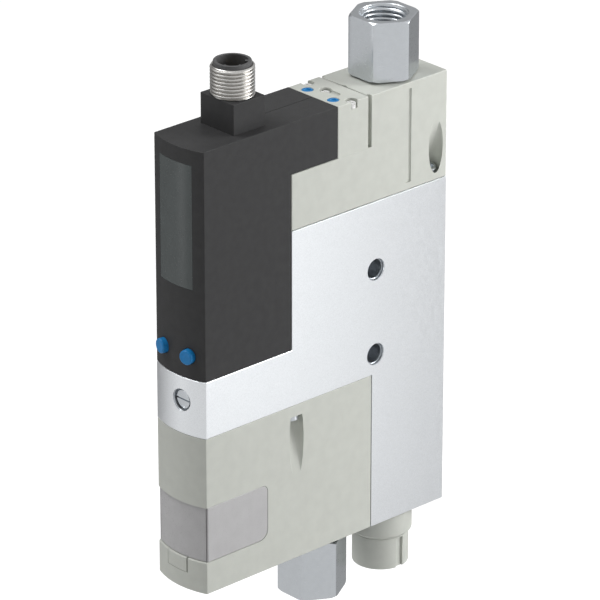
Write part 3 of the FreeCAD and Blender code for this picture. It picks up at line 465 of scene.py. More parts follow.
# Non-return valve
# A black rubber poppet held on its seat by a small steel spring, in the bore behind the filter. It
# keeps the vacuum when the jet pump is off.
rubber = finish("seal_rubber", (0.035, 0.035, 0.037), 0.0, 0.6)
bloom = grain(rubber, 0.5, 4)
tint(rubber, bloom, 0.8, 1.4)
dull(rubber, bloom, 0.5, 0.7)
refinish(rubber, "check_poppet")
spring_wire = finish("spring_wire", (0.50, 0.50, 0.51), 1.0, 0.3)
drawing = grain(spring_wire, 0.08, 2)
tint(spring_wire, drawing, 0.85, 1.1)
dull(spring_wire, drawing, 0.25, 0.4)
refinish(spring_wire, "check_spring", "supply_valve_spring", "ejector_valve_spring")

# Jet and receiver nozzle
# Turned in brass and pushed into the block one behind the other, on the axis of the supply port. The
# jet of the first draws air along into the second, which makes the vacuum.
brass = finish("turned_brass", (0.70, 0.52, 0.24), 1.0, 0.25)
rings = grain(brass, 0.15, 2, (12, 12, 1))
tint(brass, grain(brass, 1.2), 0.9, 1.08)
dull(brass, rings, 0.18, 0.32)
emboss(brass, rings, 0.004, 0.5)
refinish(brass, "jet_nozzle", "receiver_nozzle")

# Rear housing
# Moulded in the same grey plastic. It closes the block at the top, carries the supply port and reaches
# forward under the valve block; two sloping screws hold it, and a clip groove runs down each side.
HEIGHT, ARM_HEIGHT, ARM_DEPTH, VALVE_DEPTH = 130.2, 115.1, 48.1, 59.5
CLIP_Y, CLIP_RADIUS, CLIP_BOTTOM, CLIP_TOP, CLIP_DEPTH = 74.8, 0.66, 100.9, 128.4, 0.5
CLIP_FOOT, CLIP_FOOT_RISE = 0.5, 1.1
PARTING_WIDTH, PARTING_DEPTH, NOTCH_HALF, NOTCH_DEPTH, VALVE_GAP = 1.1, 1.2, 2.2, 0.45, 0.25
SUPPLY_BORE = 4
shoulder, underside = VALVE_DEPTH + VALVE_GAP, BLOCK_HEIGHT + 0.1
rear = stack_piece("rear_housing_shell", [
    (SWITCH_DEPTH, underside), (DEPTH, underside), (DEPTH, HEIGHT), (shoulder, HEIGHT),
    (shoulder, ARM_HEIGHT), (SWITCH_DEPTH, ARM_HEIGHT),
], PLASTIC_HALF)
ease_edges(rear, 0.3, ARM_HEIGHT)
trough = [(0, CLIP_BOTTOM), (CLIP_RADIUS, CLIP_BOTTOM), (CLIP_RADIUS, CLIP_TOP - 0.3)]
trough += [(CLIP_RADIUS - 0.1, CLIP_TOP), (0, CLIP_TOP)]
clip_foot = ((CLIP_Y - CLIP_RADIUS - CLIP_FOOT, CLIP_Y), (CLIP_BOTTOM - 0.01, CLIP_BOTTOM + CLIP_FOOT_RISE))
above_arm = (ARM_HEIGHT + 0.02, HEIGHT + OVER)
tools = [scoop(side, "upper") for side in (1, -1)]
for side in (1, -1):
    clip_axis = (side * (PLASTIC_HALF + CLIP_RADIUS - CLIP_DEPTH), CLIP_Y, 0)
    tools.append(turned("clip_groove", trough, centre=clip_axis, steps=48))
    wall = sorted((side * (PLASTIC_HALF - CLIP_DEPTH), side * WIDTH))
    tools.append(block("clip_foot", wall, *clip_foot))
    wall = sorted((side * (PLASTIC_HALF - PARTING_DEPTH), side * WIDTH))
    tools.append(block("parting_groove", wall, (VALVE_DEPTH - OVER, VALVE_DEPTH + PARTING_WIDTH), above_arm))
notch_plan = [(NOTCH_HALF, VALVE_DEPTH), (0, shoulder + NOTCH_DEPTH), (-NOTCH_HALF, VALVE_DEPTH)]
tools += [
    skin("notch", [[(x, y, z) for x, y in notch_plan] for z in above_arm]),
    turned("supply_seat", mouth(PORT_SEAT, HEIGHT - PORT_DEPTH, HEIGHT, 0.2), centre=PORT_AXIS),
    cylinder("supply_way", SUPPLY_BORE, BLOCK_HEIGHT - OVER, HEIGHT - PORT_DEPTH + 0.1, centre=PORT_AXIS),
]
carve(rear, *tools)
fit(rear, "main", ["rear_housing"], grey_plastic)

# Housing screws
# Four small zinc plated socket screws, put in along the slopes of the scoops, two from above and two
# from below, into threads in the block.
HEAD_RADIUS, HEAD_HEIGHT, SHANK_RADIUS, SHANK_LENGTH = 1.9, 1.4, 1.15, 10
SOCKET, SOCKET_DEPTH, SOCKET_POINT = 0.95, 0.8, 1.1
SCREW_IN = {"upper": 2.74, "lower": 2.3}


def hexagon(flat, turn, ease=0.0):
    """Distance from the middle to a hexagon's side in one direction, its corners cut a little."""
    return min(flat / cos((turn % (pi / 3)) - pi / 6), flat / cos(pi / 6) - ease)


def shaped_ring(turns, reach):
    """Ring of points round the axis: reach gives the radius and height in each direction."""
    return [(r * cos(t), r * sin(t), z) for t in turns for r, z in [reach(t)]]


def socket_screw(name, stand):
    """Screw with a hexagon socket, its shank along Z and its head behind the seat at height 0."""
    turns = directions(48)
    section = [(0, SHANK_LENGTH), (SHANK_RADIUS, SHANK_LENGTH), (SHANK_RADIUS, 0), (HEAD_RADIUS, 0)]
    section += [(HEAD_RADIUS, 0.25 - HEAD_HEIGHT), (HEAD_RADIUS - 0.08, 0.08 - HEAD_HEIGHT)]
    section.append((HEAD_RADIUS - 0.25, -HEAD_HEIGHT))
    rings = [ring(turns, radius, height) for radius, height in section]
    for z in (-HEAD_HEIGHT, SOCKET_DEPTH - HEAD_HEIGHT):
        rings.append(shaped_ring(turns, lambda t: (hexagon(SOCKET, t), z)))
    rings.append(ring(turns, 0, SOCKET_POINT - HEAD_HEIGHT))
    screw = skin(name, rings)
    screw.data.transform(stand)
    return screw


def one_piece(name, pieces):
    """Join like pieces that count as one."""
    whole = bmesh.new()
    for piece in pieces:
        whole.from_mesh(piece.data)
        bpy.data.objects.remove(piece)
    mesh = bpy.data.meshes.new(name)
    whole.to_mesh(mesh)
    whole.free()
    return added(name, mesh)


for level, inward in SCREW_IN.items():
    pair = [socket_screw("screw", slope(side, level, inward)) for side in (1, -1)]
    fit(one_piece(f"{level}_screw_pair", pair), "main", [f"{level}_housing_screws"], zinc_plate)

# Valve block
# Moulded in grey plastic, behind the switch housing, with the seats of both pilot valves. It has round
# pockets for its three screws, the outer two open to the sides, and an open slot beside the middle one.
POCKET_Y, POCKET_RADIUS, POCKET_DEPTH = 54.1, 1.75, 2.1
SCREW_PLACES = (8.6, -1.6, -8.6)
SLOT_START, SLOT_END, SLOT_HALF, SLOT_DEPTH = -0.5, 2.8, 1.1, 0.5
OVERRIDE_X, OVERRIDE_Y, OVERRIDE_RADIUS, OVERRIDE_FLOOR = 5.1, 50.75, 1.62, 123.6
ARMATURE_X, ARMATURE_Z, ARMATURE_BORE, ARMATURE_END = 4.35, 122.6, 1.56, 48.65
valve_back = VALVE_DEPTH - 0.08
valves = stack_piece("valve_block_body", [
    (ARM_DEPTH, ARM_HEIGHT), (valve_back, ARM_HEIGHT), (valve_back, HEIGHT), (ARM_DEPTH, HEIGHT),
], PLASTIC_HALF)
ease_edges(valves, 0.26, ARM_HEIGHT)
pocket_floor, slot_floor = HEIGHT - POCKET_DEPTH, HEIGHT - SLOT_DEPTH
pocket = mouth(POCKET_RADIUS, pocket_floor, HEIGHT, 0.12)
slot_y = (POCKET_Y - SLOT_HALF, POCKET_Y + SLOT_HALF)
tools = [turned("pocket", pocket, centre=(x, POCKET_Y, 0)) for x in SCREW_PLACES]
tools += [
    turned("slot_end", mouth(SLOT_HALF, slot_floor, HEIGHT, 0.1), centre=(SLOT_END, POCKET_Y, 0)),
    block("slot", (SLOT_START, SLOT_END), slot_y, (slot_floor, HEIGHT + OVER)),
]
override_bore = mouth(OVERRIDE_RADIUS + 0.06, OVERRIDE_FLOOR, HEIGHT, 0.2)
for side in (1, -1):
    tools.append(turned("override_bore", override_bore, centre=(side * OVERRIDE_X, OVERRIDE_Y, 0)))
    valve_axis = (side * ARMATURE_X, 0, ARMATURE_Z)
    tools.append(cylinder("armature_bore", ARMATURE_BORE, ARM_DEPTH - OVER, ARMATURE_END, "y", valve_axis))
carve(valves, *tools)
fit(valves, "main", ["valve_block"], grey_plastic)

# Valve screws
# Three slotted screws, zinc plated and sunk in the pockets. Their finish is paler and less metallic than the
# zinc plate, a painted highlight against the shade in the pockets. They hold the valve block down on the
# rear housing.
VALVE_HEAD, VALVE_SHANK, VALVE_SCREW_END, VALVE_HEAD_SINK = 1.25, 0.8, 108, 0.6
DRIVE_HALF, DRIVE_DEPTH = 0.2, 0.6
head_top = HEIGHT - VALVE_HEAD_SINK
section = [(0, VALVE_SCREW_END), (VALVE_SHANK, VALVE_SCREW_END), (VALVE_SHANK, pocket_floor)]
section += [(VALVE_HEAD, pocket_floor), (VALVE_HEAD, head_top - 0.12)]
section += [(VALVE_HEAD - 0.11, head_top), (0, head_top)]
drive_y = (POCKET_Y - DRIVE_HALF, POCKET_Y + DRIVE_HALF)
heads = []
for x in SCREW_PLACES:
    head = turned("valve_screw", section, centre=(x, POCKET_Y, 0), steps=48)
    carve(head, block("drive", (x - 2, x + 2), drive_y, (head_top - DRIVE_DEPTH, HEIGHT)))
    heads.append(head)
# Paler and less metallic than the zinc plate: a painted highlight that keeps the heads white in the shade of
# their pockets.
highlight_painted_zinc = finish("highlight_painted_zinc", (0.86, 0.86, 0.85), 0.3, 0.45)
tint(highlight_painted_zinc, grain(highlight_painted_zinc, 0.5, 3), 0.96, 1.04)
fit(one_piece("valve_screw_set", heads), "main", ["valve_screws"], highlight_painted_zinc)

# Pilot valves
# Two moulded coils side by side, each with a plated steel armature and a return spring. They stay
# closed in the arm of the housing.
moulded_coil = finish("moulded_coil", (0.03, 0.03, 0.032), 0.0, 0.5)
flow = grain(moulded_coil, 0.8, 3)
tint(moulded_coil, flow, 0.8, 1.5)
dull(moulded_coil, flow, 0.4, 0.6)
refinish(moulded_coil, "supply_valve_coil", "ejector_valve_coil")
refinish(zinc_plate, "supply_valve_armature", "ejector_valve_armature")

# Manual overrides
# Two blue plastic pins beside each other on top of the valve block, pushed down with a small tool
# to work a pilot valve by hand. Their tops are slightly dished.
OVERRIDE_SINK, OVERRIDE_FOOT, OVERRIDE_DISH = 0.1, 124.6, 1.0
blue_plastic = finish("blue_plastic", (0.009, 0.2, 0.5), 0.0, 0.38)
cloud = grain(blue_plastic, 0.9, 3)
tint(blue_plastic, cloud, 0.92, 1.1)
dull(blue_plastic, cloud, 0.32, 0.45)
adjust(blue_plastic, "Specular IOR Level", 0.35)
top = HEIGHT - OVERRIDE_SINK
section = [(0, OVERRIDE_FOOT), (OVERRIDE_RADIUS, OVERRIDE_FOOT), (OVERRIDE_RADIUS, top - 0.2)]
section += [(OVERRIDE_RADIUS - 0.06, top - 0.06), (OVERRIDE_RADIUS - 0.2, top)]
section += [(OVERRIDE_DISH, top - 0.05), (OVERRIDE_DISH - 0.1, top - 0.3), (0, top - 0.35)]
for side, name in ((-1, "supply"), (1, "ejector")):
    pin = turned(f"{name}_override_pin", section, centre=(side * OVERRIDE_X, OVERRIDE_Y, 0), steps=48)
    fit(pin, f"{name}_pin", [f"{name}_override"], blue_plastic)

# Switch housing
# Black plastic shell with a bowed front, clipped on over the board. It has openings for the display,
# the two keys and the plug, and a fine seam runs back from the plug along the top.
HOUSING_GAP, SHELL_WALL, SHELL_FRONT, RIM = 0.25, 1.3, 0.8, 0.35
DISPLAY_HALF, DISPLAY_BOTTOM, DISPLAY_TOP = 6.5, 89.9, 125.8
PLUG_Y, PLUG_HALF_X, PLUG_HALF_Y, PLUG_OPENING, PLUG_OPENING_END = 19.1, 6.6, 5.62, 5.1, 127
PLUG_AXIS, SEAM_HALF, SEAM_DEPTH = (0, PLUG_Y, 0), 0.12, 0.25
KEY_ANGLE, KEY_Z, KEY_RADIUS, KEY_GAP, KEY_SHOULDER = radians(11.5), 70.4, 2.12, 0.15, 3.2
black_plastic = finish("black_plastic", (0.042, 0.042, 0.043), 0.0, 0.55)
texture = grain(black_plastic, 0.16, 3)
tint(black_plastic, grain(black_plastic, 2.5, 4), 0.93, 1.08)
dull(black_plastic, texture, 0.48, 0.62)
emboss(black_plastic, texture, 0.008, 0.6)
adjust(black_plastic, "Specular IOR Level", 0.22)


def key_stand(side):
    """Stand of a key: on the bowed front, with Y pointing in, square to it."""
    x, y = side * FRONT_RADIUS * sin(KEY_ANGLE), ARC_CENTRE - FRONT_RADIUS * cos(KEY_ANGLE)
    return Matrix.Translation((x, y, KEY_Z)) @ Matrix.Rotation(side * KEY_ANGLE, 4, "Z")


base, back, arm = STEP_HEIGHT + HOUSING_GAP, SWITCH_DEPTH - HOUSING_GAP, ARM_HEIGHT + HOUSING_GAP
switch = stack_piece("switch_housing_shell", [
    (BOW, base), (back, base), (back, arm), (ARM_DEPTH, arm), (ARM_DEPTH, HEIGHT), (BOW, HEIGHT),
], PLASTIC_HALF, plastic_plan)
ease_edges(switch, 0.14)
floor_inside, arm_inside, top_inside = base + SHELL_WALL, arm + SHELL_WALL, HEIGHT - SHELL_WALL
back_inside, arm_end = back - SHELL_WALL, ARM_DEPTH + OVER
display_x, display_z = (-DISPLAY_HALF, DISPLAY_HALF), (DISPLAY_BOTTOM, DISPLAY_TOP)
seam_y, seam_z = (PLUG_Y + PLUG_HALF_Y, ARM_DEPTH + OVER), (HEIGHT - SEAM_DEPTH, HEIGHT + OVER)
tools = [
    stack_piece("switch_hollow", [
        (SHELL_FRONT, floor_inside), (back_inside, floor_inside), (back_inside, arm_inside),
        (arm_end, arm_inside), (arm_end, top_inside), (SHELL_FRONT, top_inside),
    ], PLASTIC_HALF - SHELL_WALL),
    block("display_opening", display_x, (FRONT_MOST, SHELL_FRONT + OVER), display_z),
    cylinder("plug_opening", PLUG_OPENING, PLUG_OPENING_END, HEIGHT + OVER, centre=PLUG_AXIS),
    block("seam", (-SEAM_HALF, SEAM_HALF), seam_y, seam_z),
]
key_bore = mouth(KEY_RADIUS + KEY_GAP, KEY_SHOULDER, -0.03, 0.12, 1.5)
tools += [turned("key_bore", key_bore, "y", stand=key_stand(side)) for side in (1, -1)]
carve(switch, *tools)
rim_foot, rim_arm, rim_back = STEP_HEIGHT + 0.02, ARM_HEIGHT + 0.02, SWITCH_DEPTH - 0.02
rim = stack_piece("switch_rim", [
    (BOW, rim_foot), (rim_back, rim_foot), (rim_back, rim_arm), (ARM_DEPTH - RIM, rim_arm),
    (ARM_DEPTH - RIM, arm + RIM), (back - RIM, arm + RIM), (back - RIM, base + RIM), (BOW, base + RIM),
], PLASTIC_HALF - RIM, plan(PLASTIC_HALF - RIM, RIM, 0.1))
switch = one_piece("switch_housing_piece", [switch, rim])
fit(switch, "main", ["switch_housing"], black_plastic)

# Display pane and display
# Tinted clear plastic pane, bowed as the front is and set flush in it without a frame. The display
# itself lies dark behind it.
PANE_GAP, PANE_THICKNESS, PANE_STEPS = 0.05, 1.2, 24
pane_plastic = finish("display_pane", (0.062, 0.074, 0.074), 0.0, 0.22)
haze = grain(pane_plastic, 5.0, 3)
tint(pane_plastic, haze, 0.95, 1.06)
dull(pane_plastic, grain(pane_plastic, 0.6), 0.18, 0.28)
pane_half = DISPLAY_HALF - PANE_GAP
low, high = DISPLAY_BOTTOM + PANE_GAP, DISPLAY_TOP - PANE_GAP
rings = []
for i in range(PANE_STEPS + 1):
    x = -pane_half + 2 * pane_half * i / PANE_STEPS
    outer = ARC_CENTRE - sqrt(FRONT_RADIUS**2 - x**2)
    inner = ARC_CENTRE - sqrt((FRONT_RADIUS - PANE_THICKNESS) ** 2 - x**2)
    rings.append([(x, outer, low), (x, inner, low), (x, inner, high), (x, outer, high)])
pane = skin("display_pane_plate", rings)
ease_edges(pane, 0.06, steps=2)
fit(pane, "main", ["display_window"], pane_plastic)
display_glass = finish("display_glass", (0.03, 0.04, 0.04), 0.0, 0.15)
tint(display_glass, grain(display_glass, 3.0), 0.8, 1.2)
dull(display_glass, grain(display_glass, 0.7), 0.1, 0.2)
refinish(display_glass, "display_module")

# Circuit board
# Green coated board behind the display with the controller chip, the pressure sensor and a small
# switch behind each key.
board_coat = finish("board_coat", (0.015, 0.13, 0.05), 0.0, 0.35)
tint(board_coat, grain(board_coat, 0.7, 5, (1, 1, 3)), 0.7, 1.4)
dull(board_coat, grain(board_coat, 1.0), 0.25, 0.45)
refinish(board_coat, "circuit_board")
refinish(black_plastic, "pressure_sensor", "key_switch_left", "key_switch_right")

# Keys
# Two round blue caps that stand out of the bowed front, square to it. A collar behind the shell keeps
# them in, and each works the small switch behind it.
KEY_RISE, KEY_COLLAR, KEY_END, KEY_DISH = 1.6, 2.8, 4.0, 1.55
section = [(0, 0.06 - KEY_RISE), (KEY_DISH - 0.2, 0.02 - KEY_RISE), (KEY_DISH, -KEY_RISE)]
section += [(KEY_RADIUS - 0.4, -KEY_RISE), (KEY_RADIUS - 0.16, 0.1 - KEY_RISE)]
section.append((KEY_RADIUS - 0.04, 0.26 - KEY_RISE))
section += [(KEY_RADIUS, 0.5 - KEY_RISE), (KEY_RADIUS, KEY_SHOULDER), (KEY_COLLAR, KEY_SHOULDER)]
section += [(KEY_COLLAR, KEY_END), (0, KEY_END)]
for side, name in ((-1, "left"), (1, "right")):
    cap = turned(f"{name}_key_cap", section, "y", stand=key_stand(side))
    fit(cap, f"{name}_key", [f"button_{name}"], blue_plastic)

# Plug foot
# Black plastic foot on top of the switch housing, with a neck that reaches through it. The round plug
# stands in its well and points up.
PLUG_TOP = HEIGHT + 8.8
WELL_RADIUS, WELL_DEPTH, NECK_RADIUS, NECK_LENGTH = 5.35, 3, 5.0, 2.5
near, far = PLUG_Y - PLUG_HALF_Y, PLUG_Y + PLUG_HALF_Y
corners = ((-PLUG_HALF_X, near), (PLUG_HALF_X, near), (PLUG_HALF_X, far), (-PLUG_HALF_X, far))
foot = skin("plug_foot", [[(x, y, z) for x, y in corners] for z in (HEIGHT, PLUG_TOP)])
ease_edges(foot, 0.16, HEIGHT)
carve(foot, turned("plug_well", mouth(WELL_RADIUS, PLUG_TOP - WELL_DEPTH, PLUG_TOP, 0.1), centre=PLUG_AXIS))
neck = cylinder("plug_neck", NECK_RADIUS, HEIGHT - NECK_LENGTH, HEIGHT, centre=PLUG_AXIS)
fit(one_piece("plug_foot_piece", [foot, neck]), "main", ["plug_base"], black_plastic)

# Plug sleeve
# Turned in brass and nickel plated, with an outside thread M12 for the nut of the cable. It is held in
# the foot.
PLUG_RADIUS, PLUG_BORE, PLUG_NECK, PLUG_HEIGHT, PLUG_PITCH = 6.07, 5.25, 5.5, 8.5, 1.0
PLUG_STEPS, PLUG_RUN_IN, PLUG_START = 150, 0.22, 0.64
PLUG_GROOVE, PLUG_ROOT, PLUG_CROWN = 0.48, 0.64, 0.1


def plug_thread(height, turn):
    """Radius of the thread: a round root, a wide crown that falls off to both sides, and a bevelled end."""
    place = (height / PLUG_PITCH + PLUG_START - turn / (2 * pi)) % 1.0
    groove = sin(pi * place / PLUG_GROOVE) ** 0.7 if place < PLUG_GROOVE else 0.0
    crown = max(0.0, place - PLUG_GROOVE) / (1 - PLUG_GROOVE) * 2 - 1
    cut_in = (PLUG_ROOT * groove + PLUG_CROWN * crown**2) * min(1.0, (PLUG_HEIGHT - height) / 0.3)
    end_in = 0.45 * max(0.0, 1 - (PLUG_HEIGHT - height) / 0.4)
    return PLUG_RADIUS - max(cut_in, end_in)


nickel_plate = finish("nickel_plate", (0.66, 0.65, 0.63), 1.0, 0.2)
tint(nickel_plate, grain(nickel_plate, 0.6), 0.94, 1.05)
dull(nickel_plate, grain(nickel_plate, 0.5), 0.27, 0.34)
turns = directions(144)
wall = ((PLUG_BORE, PLUG_HEIGHT - 0.2), (PLUG_BORE, 0.0), (PLUG_NECK, 0.0), (PLUG_NECK, 0.2))
rings = [ring(turns, radius, height) for radius, height in wall]
for i in range(PLUG_STEPS + 1):
    z = PLUG_RUN_IN + (PLUG_HEIGHT - PLUG_RUN_IN) * i / PLUG_STEPS
    rings.append(shaped_ring(turns, lambda t: (plug_thread(z, t), z)))
on_foot = Matrix.Translation((0, PLUG_Y, PLUG_TOP))
collar = skin("plug_thread", rings, joined=True)
collar.data.transform(on_foot)
fit(collar, "main", ["plug_sleeve"], nickel_plate, 60)

# Contact carrier
# Black plastic cup inside the sleeve. A key and two small ribs at its rim let a cable socket go on one
# way only.
CARRIER_RADIUS, CARRIER_BORE, CARRIER_TOP, CARRIER_FLOOR, CARRIER_SINK = 5.2, 4.3, 9.55, 2.0, 3
# The key and the ribs: where each stands round the rim, how far in it reaches and half its width.
RIBS = ((45, 3.4, 0.45), (-12, 3.75, 0.22), (-71, 3.75, 0.22))
contact_plastic = finish("contact_plastic", (0.085, 0.085, 0.087), 0.0, 0.5)
tint(contact_plastic, grain(contact_plastic, 0.6, 3), 0.9, 1.1)
outside = [(0, -CARRIER_SINK), (CARRIER_RADIUS, -CARRIER_SINK), (CARRIER_RADIUS, CARRIER_TOP - 0.15)]
outside += [(CARRIER_RADIUS - 0.04, CARRIER_TOP - 0.05), (CARRIER_RADIUS - 0.16, CARRIER_TOP)]
inside = [(CARRIER_BORE + 0.12, CARRIER_TOP), (CARRIER_BORE + 0.03, CARRIER_TOP - 0.05)]
inside.append((CARRIER_BORE, CARRIER_TOP - 0.15))
inside += [(CARRIER_BORE, CARRIER_FLOOR + 0.15), (CARRIER_BORE - 0.1, CARRIER_FLOOR), (0, CARRIER_FLOOR)]
insert = turned("plug_insert_cup", outside + inside, stand=on_foot)
ribs = []
for angle, reach, half in RIBS:
    rib = block("rib", (reach, CARRIER_BORE + 0.2), (-half, half), (0, CARRIER_TOP - 0.09))
    rib.data.transform(on_foot @ Matrix.Rotation(radians(angle), 4, "Z"))
    ribs.append(rib)
insert = one_piece("plug_insert_piece", [insert, *ribs])
fit(insert, "main", ["plug_insert"], contact_plastic)

# Contact pins
# Five round pins with domed tips, turned and gold plated. They stand in the floor of the carrier and
# reach down towards the board.
PIN_PLACES = ((0, 0), (2.5, 0), (-2.5, 0), (0, 2.5), (0, -2.5))
PIN_RADIUS, PIN_TOP, PIN_FOOT = 0.5, 7.0, -11.8
gold_plate = finish("gold_plate", (0.80, 0.58, 0.25), 1.0, 0.22)
tint(gold_plate, grain(gold_plate, 0.5), 0.93, 1.05)
dull(gold_plate, grain(gold_plate, 0.3), 0.18, 0.28)
section = [(0, PIN_FOOT), (PIN_RADIUS, PIN_FOOT), (PIN_RADIUS, PIN_TOP - 0.37)]
section += [(PIN_RADIUS - 0.06, PIN_TOP - 0.17), (PIN_RADIUS - 0.2, PIN_TOP - 0.04)]
section += [(PIN_RADIUS - 0.38, PIN_TOP), (0, PIN_TOP)]
pins = [turned("pin", section, centre=(x, PLUG_Y + y, PLUG_TOP), steps=32) for x, y in PIN_PLACES]
fit(one_piece("plug_pin_set", pins), "main", ["plug_pins"], gold_plate)

# Port sleeves
# Turned from steel hexagon 17 across flats and zinc plated, with a female thread G 1/4. One is
# screwed down into the rear housing, the other up into the lower housing.
HEX_FLAT, HEX_EASE, HEX_CROWN, HEX_RISE = 8.643, 0.09, 9.3, 0.4
HEX_CORNER = HEX_FLAT / cos(pi / 6)
PORT_TOP, PORT_BORE, PORT_COLLAR, COLLAR_RADIUS = 17.8, 4.0, 0.57, 6.9
SPIGOT_RADIUS, SPIGOT_LENGTH = 6.5, 13.0
THREAD_MINOR, THREAD_MAJOR, THREAD_PITCH, THREAD_LENGTH = 5.72, 6.5, 1.337, 12.0
THREAD_START, THREAD_STEPS = 0.4, 110


def female_thread(depth, turn):
    """Radius of the thread: each ridge slopes in from its root, rounds off and falls back steeply."""
    place = (depth / THREAD_PITCH + turn / (2 * pi)) % 1.0
    slope_end, fall_start = 0.62, 0.78
    if place < slope_end:
        height = sin(pi / 2 * place / slope_end)
    elif place < fall_start:
        height = 1.0
    else:
        height = (cos(pi * (place - fall_start) / (1 - fall_start)) + 1) / 2
    ridge = (THREAD_MAJOR - THREAD_MINOR) * height * min(1.0, depth / 1.2)
    return max(THREAD_MAJOR - ridge, THREAD_MINOR)


def chamfered(turn):
    """How far a turned chamfer comes down the hexagon in one direction."""
    return HEX_RISE * max(0.0, hexagon(HEX_FLAT, turn) - HEX_CROWN) / (HEX_CORNER - HEX_CROWN)


def hex_side(turn):
    """Distance from the axis to the side of the sleeve's hexagon in one direction."""
    return hexagon(HEX_FLAT, turn, HEX_EASE)


def port_sleeve(name):
    """Port sleeve on its collar at height 0: up the outside, over the hexagon and down the thread."""
    turns = directions(120)
    outside = [(PORT_BORE, -SPIGOT_LENGTH), (SPIGOT_RADIUS - 0.2, -SPIGOT_LENGTH)]
    outside += [(SPIGOT_RADIUS, 0.2 - SPIGOT_LENGTH), (SPIGOT_RADIUS, 0.0)]
    outside += [(COLLAR_RADIUS, 0.0), (COLLAR_RADIUS, PORT_COLLAR), (COLLAR_RADIUS + 1, PORT_COLLAR)]
    rings = [ring(turns, radius, height) for radius, height in outside]
    for inset, rise in ((0.12, 0.0), (0.03, 0.04), (0.0, 0.12)):
        rings.append(shaped_ring(turns, lambda t: (hex_side(t) - inset, PORT_COLLAR + chamfered(t) + rise)))
    for inset, fall in ((0.0, 0.32), (0.04, 0.15), (0.12, 0.04)):
        rings.append(shaped_ring(turns, lambda t: (hex_side(t) - inset, PORT_TOP - chamfered(t) - fall)))
    rings.append(shaped_ring(turns, lambda t: (min(hex_side(t) - 0.26, HEX_CROWN - 0.12), PORT_TOP)))
    for out, fall in ((0.5, 0.0), (0.36, 0.04), (0.24, 0.14), (0.16, 0.28)):
        rings.append(ring(turns, THREAD_MAJOR + out, PORT_TOP - fall))
    for i in range(THREAD_STEPS):
        depth = THREAD_START + (THREAD_LENGTH - THREAD_START) * i / THREAD_STEPS
        rings.append(shaped_ring(turns, lambda t: (female_thread(depth, t), PORT_TOP - depth)))
    rings.append(ring(turns, THREAD_MINOR, PORT_TOP - THREAD_LENGTH))
    rings.append(ring(turns, PORT_BORE, PORT_TOP - THREAD_LENGTH - 0.8))
    return skin(name, rings, joined=True)


supply = port_sleeve("supply_sleeve_turned")
supply.data.transform(Matrix.Translation((0, PORT_Y, HEIGHT)))
fit(supply, "main", ["supply_port_sleeve"], zinc_plate, 28)
vacuum = port_sleeve("vacuum_sleeve_turned")
vacuum.data.transform(Matrix.Translation((0, VACUUM_Y, 0)) @ Matrix.Rotation(pi, 4, "X"))
fit(vacuum, "main", ["vacuum_port_sleeve"], zinc_plate, 28)

# Silencer
# Moulded in grey plastic and pushed into the foot of the block: a cup with a wider collar, a coin slot
# in its side and a white porous insert that the spent air leaves through.
CUP_RADIUS, CUP_COLLAR, CUP_BORE, CUP_SPIGOT, CUP_THROAT = 8.03, 8.95, 6.2, 6.4, 3.4
CUP_ROOF, COLLAR_END, CONE_END, CUP_END = -2.2, -7.0, -8.0, -17.7
COIN_SLOT_HALF, COIN_SLOT_DEPTH = 1.25, 0.8
cup_section = [
    (CUP_THROAT, SEAT_TOP), (CUP_SPIGOT, SEAT_TOP), (CUP_SPIGOT, 0),
    (CUP_COLLAR - 0.05, 0), (CUP_COLLAR, -0.15),
    (CUP_COLLAR, COLLAR_END), (CUP_COLLAR - 0.05, COLLAR_END - 0.15),
    (CUP_RADIUS + 0.06, CONE_END), (CUP_RADIUS - 0.1, CONE_END - 0.05),
    (CUP_RADIUS - 0.1, CONE_END - 0.25), (CUP_RADIUS, CONE_END - 0.3),
    (CUP_RADIUS, CUP_END + 0.25), (CUP_RADIUS - 0.08, CUP_END + 0.07),
    (CUP_RADIUS - 0.25, CUP_END),
    (CUP_BORE + 0.15, CUP_END), (CUP_BORE, CUP_END + 0.15),
    (CUP_BORE, CUP_ROOF), (CUP_THROAT, CUP_ROOF),
]
cup = turned("silencer_cup", cup_section, centre=PORT_AXIS, steps=96, hollow=True)
slot_x = (CUP_RADIUS - COIN_SLOT_DEPTH, CUP_COLLAR + OVER)
slot_y = (PORT_Y - COIN_SLOT_HALF, PORT_Y + COIN_SLOT_HALF)
carve(cup, block("coin_slot", slot_x, slot_y, (CUP_END - OVER, CONE_END - 0.4)))
fit(cup, "main", ["silencer_housing"], grey_plastic)
CORE_RADIUS, CORE_BORE, CORE_TOP, CORE_END, CORE_CAP = 6.1, 2.6, -2.25, CUP_END + 0.6, 2
section = [(0, CORE_END + CORE_CAP), (CORE_BORE, CORE_END + CORE_CAP), (CORE_BORE, CORE_TOP)]
section += [(CORE_RADIUS, CORE_TOP), (CORE_RADIUS, CORE_END + 0.2)]
section += [(CORE_RADIUS - 0.2, CORE_END), (0, CORE_END)]
core = turned("silencer_core", section, centre=PORT_AXIS)
fit(core, "main", ["silencer_insert"], felt)

# Throttle screw
# Turned in steel and zinc plated, with a fine slot, and sunk in a recess in the front of the block. It
# sets the strength of the blow off.
SCREW_FACE, SCREW_HEAD_END, SCREW_SHANK, SCREW_END = -1.3, 6.2, 2.0, 14
SCREW_SLOT_HALF, SCREW_SLOT_DEPTH = 0.225, 0.8
section = [(0, SCREW_FACE), (THROTTLE_HEAD - 0.18, SCREW_FACE), (THROTTLE_HEAD - 0.05, SCREW_FACE + 0.06)]
section += [(THROTTLE_HEAD, SCREW_FACE + 0.2), (THROTTLE_HEAD, SCREW_HEAD_END)]
section += [(SCREW_SHANK, SCREW_HEAD_END + 0.4), (SCREW_SHANK, SCREW_END - 0.4)]
section += [(SCREW_SHANK - 0.4, SCREW_END), (0, SCREW_END)]
throttle = turned("throttle_needle", section, "y", THROTTLE_AXIS)
slot_x = (THROTTLE_X - THROTTLE_HEAD - OVER, THROTTLE_X + THROTTLE_HEAD + OVER)
slot_z = (THROTTLE_Z - SCREW_SLOT_HALF, THROTTLE_Z + SCREW_SLOT_HALF)
